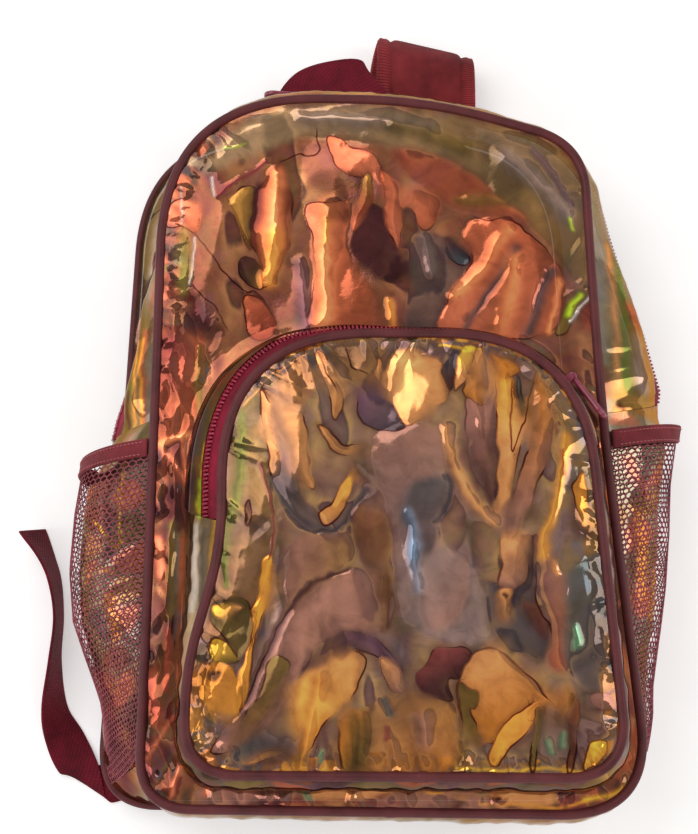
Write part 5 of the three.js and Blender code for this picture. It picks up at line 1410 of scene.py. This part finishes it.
def gusset_film(name, along, low, high, columns, crumple, swell, cell, weight, picture, seed, clear):
    """A film strip of the gusset, crumpled and swollen outwards between its sewn edges."""
    grid, across = gusset_grid(along, low, high, columns)
    share = np.linspace(0, 1, columns)
    lengths, widths = strip_measure(grid)
    folds = billow(lengths, GUSSET_STRETCH * widths, seed, GUSSET_BILLOWS)
    off = crumple * folds * smoothstep(0, 0.35, 2 * np.minimum(share, 1 - share))
    off += swell[:, None] * np.sin(math.pi * share ** 0.7)
    grid = grid + gusset_normal(along[:, None], across) * off[..., None]
    film = grid_piece(f"{name}_film", grid, film_gusset, name)
    dress_film(film, [grid], cell, GUSSET_TINTS, weight, picture, seed + 1, clear)
    return film


def gusset_tape(name, low, high, stands_for):
    grid, _ = gusset_grid(upper, low, high, 5)
    grid_piece(name, grid, zip_tape, stands_for)


def back_line(along):
    return FILM_INSET / gusset_pace(along, 0.004)


def front_line(along):
    return 1 - FILM_INSET / gusset_pace(along, 0.996)


def zip_line(distance):
    """A line beside the main zip, as shares across the gusset."""
    return MAIN_ZIP_AT + distance / gusset_pace(upper, MAIN_ZIP_AT)


def from_ends(along):
    return np.minimum(along - along[0], along[-1] - along) * front_seam.length


right_end, left_end = [side_at(side, NET_TOP[side] + NET_LAP) for side in ("right", "left")]
butt = STRIP_BUTT / front_seam.length
upper = np.linspace(right_end + butt, left_end - butt, 520)
lower = np.linspace(left_end, right_end + 1, 520)

lower_x, lower_y = front_seam.plan(lower).T
left_depth, right_depth = [column(NET_DEPTH, k, lower_y) for k in (1, 2)]
lower_swell = NET_FILL * np.where(lower_x < 0, left_depth, right_depth)
lower_swell *= smoothstep(0, 30, from_ends(lower))
lower_columns = 64
lower_cells = np.repeat(0.8 * smoothstep(-222, -190, lower_y), lower_columns)
upper_out = front_seam.out(upper)
side_swell = SIDE_SWELL * smoothstep(0.75, 0.95, np.abs(upper_out[:, 0]))
side_swell *= smoothstep(0, 18, from_ends(upper))
side_swell *= 1 - smoothstep(60, 120, front_seam.plan(upper)[:, 1])
upper_swell = TOP_SWELL * smoothstep(0.75, 0.97, upper_out[:, 1]) + side_swell

lower_film = gusset_film(
    "gusset_lower", lower, back_line(lower), front_line(lower), lower_columns, crumple=0.8, swell=lower_swell,
    cell=(18, 26), weight=lower_cells, picture=NET_PICTURE, seed=61, clear=0.05,
)
tape_edge = CHAIN_EDGE + ZIP_TAPE
upper_back = gusset_film(
    "gusset_upper_back", upper, back_line(upper), zip_line(-tape_edge - TAPE_GAP), 16, crumple=0.5,
    swell=0 * upper, cell=(40, 12), weight=0.3, picture=GUSSET_PICTURE, seed=71, clear=0.3,
)
upper_front = gusset_film(
    "gusset_upper_front", upper, zip_line(tape_edge + TAPE_GAP), front_line(upper), 16, crumple=0.5,
    swell=upper_swell, cell=(40, 12), weight=0.2, picture=GUSSET_PICTURE, seed=81, clear=0.2,
)
gusset_tape("main_tape_back", zip_line(-tape_edge), zip_line(TAPE_LAP - CHAIN_EDGE), "main_zip_tape_back")
gusset_tape("main_tape_front", zip_line(CHAIN_EDGE - TAPE_LAP), zip_line(tape_edge), "main_zip_tape_front")


# Zip teeth and stitches

def scatter(name, shape, faces, places, bases, material, stands_for=None):
    """Copies of a small shape in one mesh; a base is three directions, one for each of the shape's axes."""
    points = np.einsum("pk,nkd->npd", shape, bases) + places[:, None]
    whole = [[corner + i * len(shape) for corner in face] for i in range(len(places)) for face in faces]
    make_piece(name, points, whole, material, stands_for)


def even_path(points, pitch):
    """Stops at an even pitch along a path, and the distances of its stations."""
    lengths = path_lengths(points)
    return np.arange(pitch / 2, lengths[-1], pitch), lengths


def zip_chain(name, centres, across, up, stands_for):
    """Moulded teeth along a zip, from its two sides in turn. A tooth's y runs from its root to its tip."""
    turn = np.radians(np.arange(22.5, 360, 45))
    shape = [
        (TOOTH_LONG * scale * math.cos(t), y, TOOTH_HIGH * scale * math.sin(t))
        for y, scale in TOOTH_RINGS for t in turn
    ]
    stops, lengths = even_path(centres, TOOTH_PITCH / 2)
    side = np.where(np.arange(len(stops)) % 2, 1.0, -1.0)[:, None]
    over = unit(between(stops, lengths, across)) * side
    high = unit(between(stops, lengths, up))
    bases = np.stack([np.cross(over, high), over, high], axis=1)
    faces = tube_faces(len(TOOTH_RINGS), len(turn))
    places = between(stops, lengths, centres)
    scatter(name, np.array(shape), faces, places, bases, zip_teeth, stands_for)


def stitches(name, path, up, pitch):
    """Short threads along a line on a surface."""
    turn = np.radians(np.arange(0, 360, 60))
    shape = [
        (x * pitch, scale * STITCH_WIDE * math.cos(t), scale * STITCH_THICK * math.sin(t))
        for x, scale in STITCH_RINGS for t in turn
    ]
    stops, lengths = even_path(path, pitch)
    forward = unit(between(stops, lengths, np.gradient(path, axis=0)))
    high = unit(between(stops, lengths, up))
    bases = np.stack([forward, unit(np.cross(high, forward)), high], axis=1)
    faces = grid_faces(len(STITCH_RINGS), len(turn), wrap_columns=True).tolist()
    scatter(name, np.array(shape), faces, between(stops, lengths, path) + 0.1 * high, bases, thread)


main_across = unit(gusset_point(upper, MAIN_ZIP_AT + 0.002) - gusset_point(upper, MAIN_ZIP_AT - 0.002))
main_up = gusset_normal(upper, MAIN_ZIP_AT)
zip_chain("main_teeth", gusset_point(upper, MAIN_ZIP_AT), main_across, main_up, "main_zip_chain")


# Pocket walls and zip

def ruled(start, end, columns):
    """A grid of points on straight lines from one edge to another."""
    share = np.linspace(0, 1, columns)[:, None]
    return start[:, None] * (1 - share) + end[:, None] * share


def wall_grid():
    """The film wall round the pocket outside its zip, bowed out and crinkled."""
    end = WALL_GAP / pocket_seam.length
    along = np.linspace(POCKET_ZIP[1] + end, POCKET_ZIP[0] + 1 - end, 360)
    share = np.linspace(0, 1, WALL_COLUMNS)
    flat = xyz((along * pocket_seam.length)[:, None], WALL_DEPTH * share, 0.0)
    off = (WALL_BOW + WALL_CRINKLE * grain(flat, WALL_WAVE, 91)) * np.sin(math.pi * share)
    grid = ruled(pocket_seam.point(along) - WALL_DROP * UP, pocket_base.point(along), WALL_COLUMNS)
    return grid + pocket_seam.out(along)[:, None] * off[..., None]


zip_along = np.linspace(*POCKET_ZIP, 400)
zip_seam = pocket_seam.point(zip_along)
zip_foot = pocket_base.point(zip_along)
zip_centre = zip_seam + pocket_seam.out(zip_along) * column(POCKET_ZIP_OUT, 1, zip_along)[:, None]
zip_centre[:, 2] = POCKET_ZIP_HEIGHT
zip_across = unit(zip_centre - zip_seam)
zip_up = unit(np.cross(zip_across, unit(np.gradient(zip_seam, axis=0))))
front_tape = ruled(zip_seam + zip_across * TAPE_INSET, zip_centre - zip_across * TAPE_INSET, 5)
back_tape = ruled(zip_centre + zip_across * TAPE_INSET, zip_foot, 7)
grid_piece("pocket_tape_front", front_tape, zip_tape, "pocket_zip_tape_front")
grid_piece("pocket_tape_back", back_tape, zip_tape, "pocket_zip_tape_back")

flap = ruled(zip_centre + zip_across * FLAP_EDGE, zip_foot + 0.4 * UP, FLAP_COLUMNS)
flap += zip_up[:, None] * (1 + 1.2 * np.sin(math.pi * np.linspace(0, 1, FLAP_COLUMNS)))[:, None]
wall_grids = [wall_grid(), flap]
wall_points = np.concatenate([grid.reshape(-1, 3) for grid in wall_grids])
wall_faces, flap_faces = [grid_faces(*grid.shape[:2]) for grid in wall_grids]
wall_faces = np.concatenate([wall_faces, flap_faces + wall_grids[0][..., 0].size])
pocket_wall = make_piece("pocket_wall_film", wall_points, wall_faces, film_front, "pocket_gusset")
dress_film(pocket_wall, wall_grids, (22, 10), WALL_TINTS, 0.6, WALL_PICTURE, 92, 0.1)
zip_chain("pocket_teeth", zip_centre, zip_across, zip_up, "pocket_zip_chain")


# Net side pockets

def net_point(side, along, share, edges, clear):
    """A net's surface: share runs from its edge at the back to the one at the front."""
    along, share = np.broadcast_arrays(along, share)
    depth = column(NET_DEPTH, 1 if side == "left" else 2, front_seam.plan(along)[..., 1])
    across = edges[0] + (edges[1] - edges[0]) * share
    off = clear + depth * np.sin(math.pi * share)
    return gusset_point(along, across) + gusset_normal(along, across) * off[..., None]


def net_pocket(side):
    """Honeycomb net: zigzag rows of strands, joined by every other upright."""
    def surface(along, share):
        return net_point(side, along, share, NET_EDGES, NET_CLEAR)

    start = side_at(side, NET_BOTTOM)
    end = side_at(side, NET_TOP[side] - NET_DROP - BINDING_WIDTH + BINDING_LAP)
    row, col = np.meshgrid(np.arange(NET_ROWS + 1), np.arange(NET_COLUMNS + 1), indexing="ij")
    odd = (row + col) % 2 == 1
    along = start + (end - start) * np.clip((row + np.where(odd, NET_ZIG, -NET_ZIG)) / NET_ROWS, 0, 1)
    share = np.clip(col / NET_COLUMNS, 0.002, 0.998)
    knots = surface(along, share).reshape(-1, 3)
    normals = surface_normal(surface, along, share, 0.003).reshape(-1, 3)

    number = np.arange(len(knots)).reshape(row.shape)
    first = np.concatenate([number[:, :-1].ravel(), number[:-1][odd[:-1]]])
    last = np.concatenate([number[:, 1:].ravel(), number[1:][odd[:-1]]])
    way = unit(knots[last] - knots[first])
    normal = unit(normals[first] + normals[last])
    over = unit(np.cross(way, normal)) * STRAND_WIDE
    normal = normal * STRAND_THICK
    section = np.stack([over, normal, -over, -normal], axis=1)
    ends = (knots[first] - STRAND_LAP * way, knots[last] + STRAND_LAP * way)
    points = np.concatenate([place[:, None] + section for place in ends], axis=1)
    base = 8 * np.arange(len(first))[:, None]
    faces = np.concatenate([base + [k, (k + 1) % 4, 4 + (k + 1) % 4, 4 + k] for k in range(4)])
    net = make_piece(f"{side}_net", points, faces, net_yarn, f"{side}_mesh_pocket")
    set_layer(net, "weave", "FLOAT_VECTOR", 0.6 * points)


def net_binding(side):
    """Folded tape along a net's top edge, with two rows of stitches."""
    outer = 1 if side == "right" else -1
    top = side_at(side, NET_TOP[side] - NET_DROP - BINDING_WIDTH / 2)
    share = np.linspace(0, 1, 90)
    clear = NET_CLEAR + (BINDING_THICK - 1) / 2
    centres, ahead = [net_point(side, along, share, BINDING_EDGES, clear) for along in (top, top + 0.001)]
    across = unit(ahead - centres) * outer
    up = unit(np.cross(across, unit(np.gradient(centres, axis=0))))
    section = flat_section(BINDING_WIDTH, BINDING_THICK, 6, 1.1)
    stations = (centres, across, up)
    sweep(f"{side}_binding", stations, section, binding_cloth, f"{side}_mesh_binding")
    outward = up * np.sign(up[:, :1] * outer)
    for k, place in enumerate(BINDING_STITCHES):
        line = centres + across * place * BINDING_WIDTH + outward * BINDING_THICK / 2
        name = f"{side}_binding_stitches_{k}"
        stitches(name, line[2:-2], outward[2:-2], BINDING_STITCH_PITCH)


for side in ("left", "right"):
    net_pocket(side)
    net_binding(side)


# Straps and webbing

strap_section = pad_section()
strap_bound = [float(abs(x) > STRAP_WIDTH / 2 - STRAP_BOUND + 0.5) for x, _ in strap_section]
for name, rows in (("left_strap", LEFT_STRAP), ("right_strap", RIGHT_STRAP)):
    stations, (wide, thick) = strip_stations(rows, 24, STRAP_WIDTH, STRAP_THICK, leans=False)
    centres, widths, up = stations
    strap = sweep(f"{name}_pad", stations, strap_section, strap_knit, name, False, wide, thick)
    set_layer(strap, "ribbed", "FLOAT", np.tile(strap_bound, len(centres)))
    for k, (side, face) in enumerate(((-1, -1), (-1, 1), (1, -1), (1, 1))):
        reach = side * (STRAP_WIDTH / 2 - STRAP_BOUND - STRAP_STITCH_IN) * wide[:, None]
        outward = up * face
        line = centres + widths * reach + outward * STRAP_THICK * STRAP_STITCH_AT * thick[:, None]
        path = line[STRAP_STITCHED]
        stitches(f"{name}_stitches_{k}", path, outward[STRAP_STITCHED], STRAP_STITCH_PITCH)

webbing_section = flat_section(WEBBING_WIDTH, WEBBING_THICK, 10, 0.7)
webbings = {"left_webbing": LEFT_WEBBING, "right_webbing": RIGHT_WEBBING, "haul_loop": HAUL_LOOP}
for name, rows in webbings.items():
    stations, _ = strip_stations(rows, 12, WEBBING_WIDTH, WEBBING_THICK, leans=True)
    sweep(f"{name}_strip", stations, webbing_section, webbing_weave, name)


# Back panel and label

def back_pad():
    """A pad inside the back seam, from rings of its underside outwards and of its top inwards."""
    along = np.linspace(0, 1, 360, endpoint=False)
    rim = back_seam.inset(along, PAD_INSET)
    under = [(share, PAD_ROUND * share ** 8) for share in PAD_SHARES]
    over = [(share, 1 - rise) for share, rise in under[::-1]]
    rings = [xyz(*(share * rim).T, BACK_PAD_FOOT + BACK_PAD * rise) for share, rise in under + over]
    points = np.concatenate(rings)
    faces = tube_faces(len(rings), len(along))
    pad = make_piece("back_pad", points, faces, pad_cloth, "back_panel")
    set_layer(pad, "weave", "FLOAT_VECTOR", points)


def label_patch():
    """A blank cloth patch on the back panel, with a flat edge."""
    columns = 31
    rows = 22
    x, y = np.meshgrid(np.linspace(-0.5, 0.5, columns), np.linspace(-0.5, 0.5, rows))
    edge = np.minimum(0.5 - np.abs(x), 0.5 - np.abs(y))
    z = BACK_PAD_FOOT + BACK_PAD + LABEL_LIFT + LABEL_THICK * smoothstep(0.02, 0.07, edge)
    z += LABEL_RIPPLE * np.sin(9 * x + 4 * y)
    points = xyz(LABEL["x"] + x * LABEL["wide"], LABEL["y"] + y * LABEL["tall"], z)
    label = make_piece("label_patch", points, grid_faces(rows, columns), label_cloth, "inside_label")
    set_layer(label, "weave", "FLOAT_VECTOR", points)


back_pad()
label_patch()


# Sliders, ladder locks and pulls

for material, names in (
    (slider_enamel, ("pocket_slider", "main_slider")), (buckle_plastic, ("left_buckle", "right_buckle")),
):
    for name in names:
        bpy.data.objects[name].data.materials.clear()
        bpy.data.objects[name].data.materials.append(material)


def pull_outline(inset):
    """A teardrop, from its neck round its end, drawn in by an inset."""
    start = PULL["eye"] + 0.5 + inset
    round_at = PULL["length"] - PULL["half"]
    half = PULL["half"] - inset
    neck = max(PULL["neck"] - inset, 0.3)
    side = bend([start, -neck], [PULL["shoulder"], -neck], [round_at, -half], 24)
    turn = np.linspace(-math.pi / 2, math.pi / 2, 32)[1:-1]
    end = np.stack([round_at + half * np.cos(turn), half * np.sin(turn)], axis=1)
    return np.concatenate([side, end, side[::-1] * [1, -1]])


def pull_piece(name):
    """A teardrop tab with a raised rim and a round eye."""
    pivot, along, axis = [np.array(part) for part in PULLS[name]]
    along = unit(along)
    across = -unit(axis)
    top = [xyz(*pull_outline(inset).T, PULL["thick"] / 2 * rise) for inset, rise in PULL_RINGS]
    rings = [ring * [1, 1, -1] for ring in top[::-1]] + top
    faces = tube_faces(len(rings), len(top[0]))

    turn = np.linspace(0, 2 * math.pi, 28, endpoint=False)
    inner = PULL["eye"]
    outer = PULL["ring"]
    neck = PULL["neck"]
    half = [(inner, -neck), (outer - 0.3, -neck), (outer, -neck + 0.3)]
    section = half + [(radius, -y) for radius, y in half[::-1]]
    eye = [(radius * math.cos(t), y, radius * math.sin(t)) for t in turn for radius, y in section]
    points = np.concatenate([*rings, eye])
    faces += (grid_faces(len(turn), len(section), True, True) + len(points) - len(eye)).tolist()
    places = pivot / MM + ORIGIN + points @ np.array([along, across, np.cross(along, across)])
    make_piece(f"{name}_tab", places, faces, slider_enamel, name, body=name)


for name in PULLS:
    pull_piece(name)


# Floor, lights and camera

def floor():
    mesh = bpy.data.meshes.new("floor")
    corners = [(x * FLOOR_HALF, y * FLOOR_HALF, 0) for x, y in ((-1, -1), (1, -1), (1, 1), (-1, 1))]
    mesh.from_pydata(corners, [], [(0, 1, 2, 3)])
    piece = bpy.data.objects.new("floor", mesh)
    bpy.context.collection.objects.link(piece)
    material, tree, shader = new_material("floor_paint")
    speckle = ramp(tree, noise_value(tree, object_place(tree), 30), [(0.3, 0.86), (0.7, 0.9)])
    set_shader(
        tree, shader, Base_Color=speckle, Roughness=0.7, Emission_Color=(1.0, 1.0, 1.0),
        Emission_Strength=0.35,
    )
    mesh.materials.append(material)


def aimed(name, data, place, target):
    """A lamp or camera at a place, turned to a target."""
    made = bpy.data.objects.new(name, data)
    made.location = place
    made.rotation_euler = (Vector(target) - made.location).to_track_quat("-Z", "Y").to_euler()
    bpy.context.collection.objects.link(made)
    return made


floor()
for name, (place, target, size, power) in LAMPS.items():
    lamp = bpy.data.lights.new(name, "AREA")
    lamp.shape = "RECTANGLE"
    lamp.size, lamp.size_y = size
    lamp.energy = power
    aimed(name, lamp, place, target)
world = bpy.data.worlds.new("studio")
world.use_nodes = True
background = world.node_tree.nodes["Background"]
background.inputs["Color"].default_value = (*ROOM_COLOUR, 1.0)
background.inputs["Strength"].default_value = ROOM_STRENGTH
bpy.context.scene.world = world
bpy.context.scene.view_settings.view_transform = "Standard"

lens = bpy.data.cameras.new("camera")
lens.sensor_width = SENSOR
lens.lens = FOCAL_PIXELS / PICTURE[1] * SENSOR
bpy.context.scene.camera = aimed("camera", lens, metres(EYE), metres(AIM))
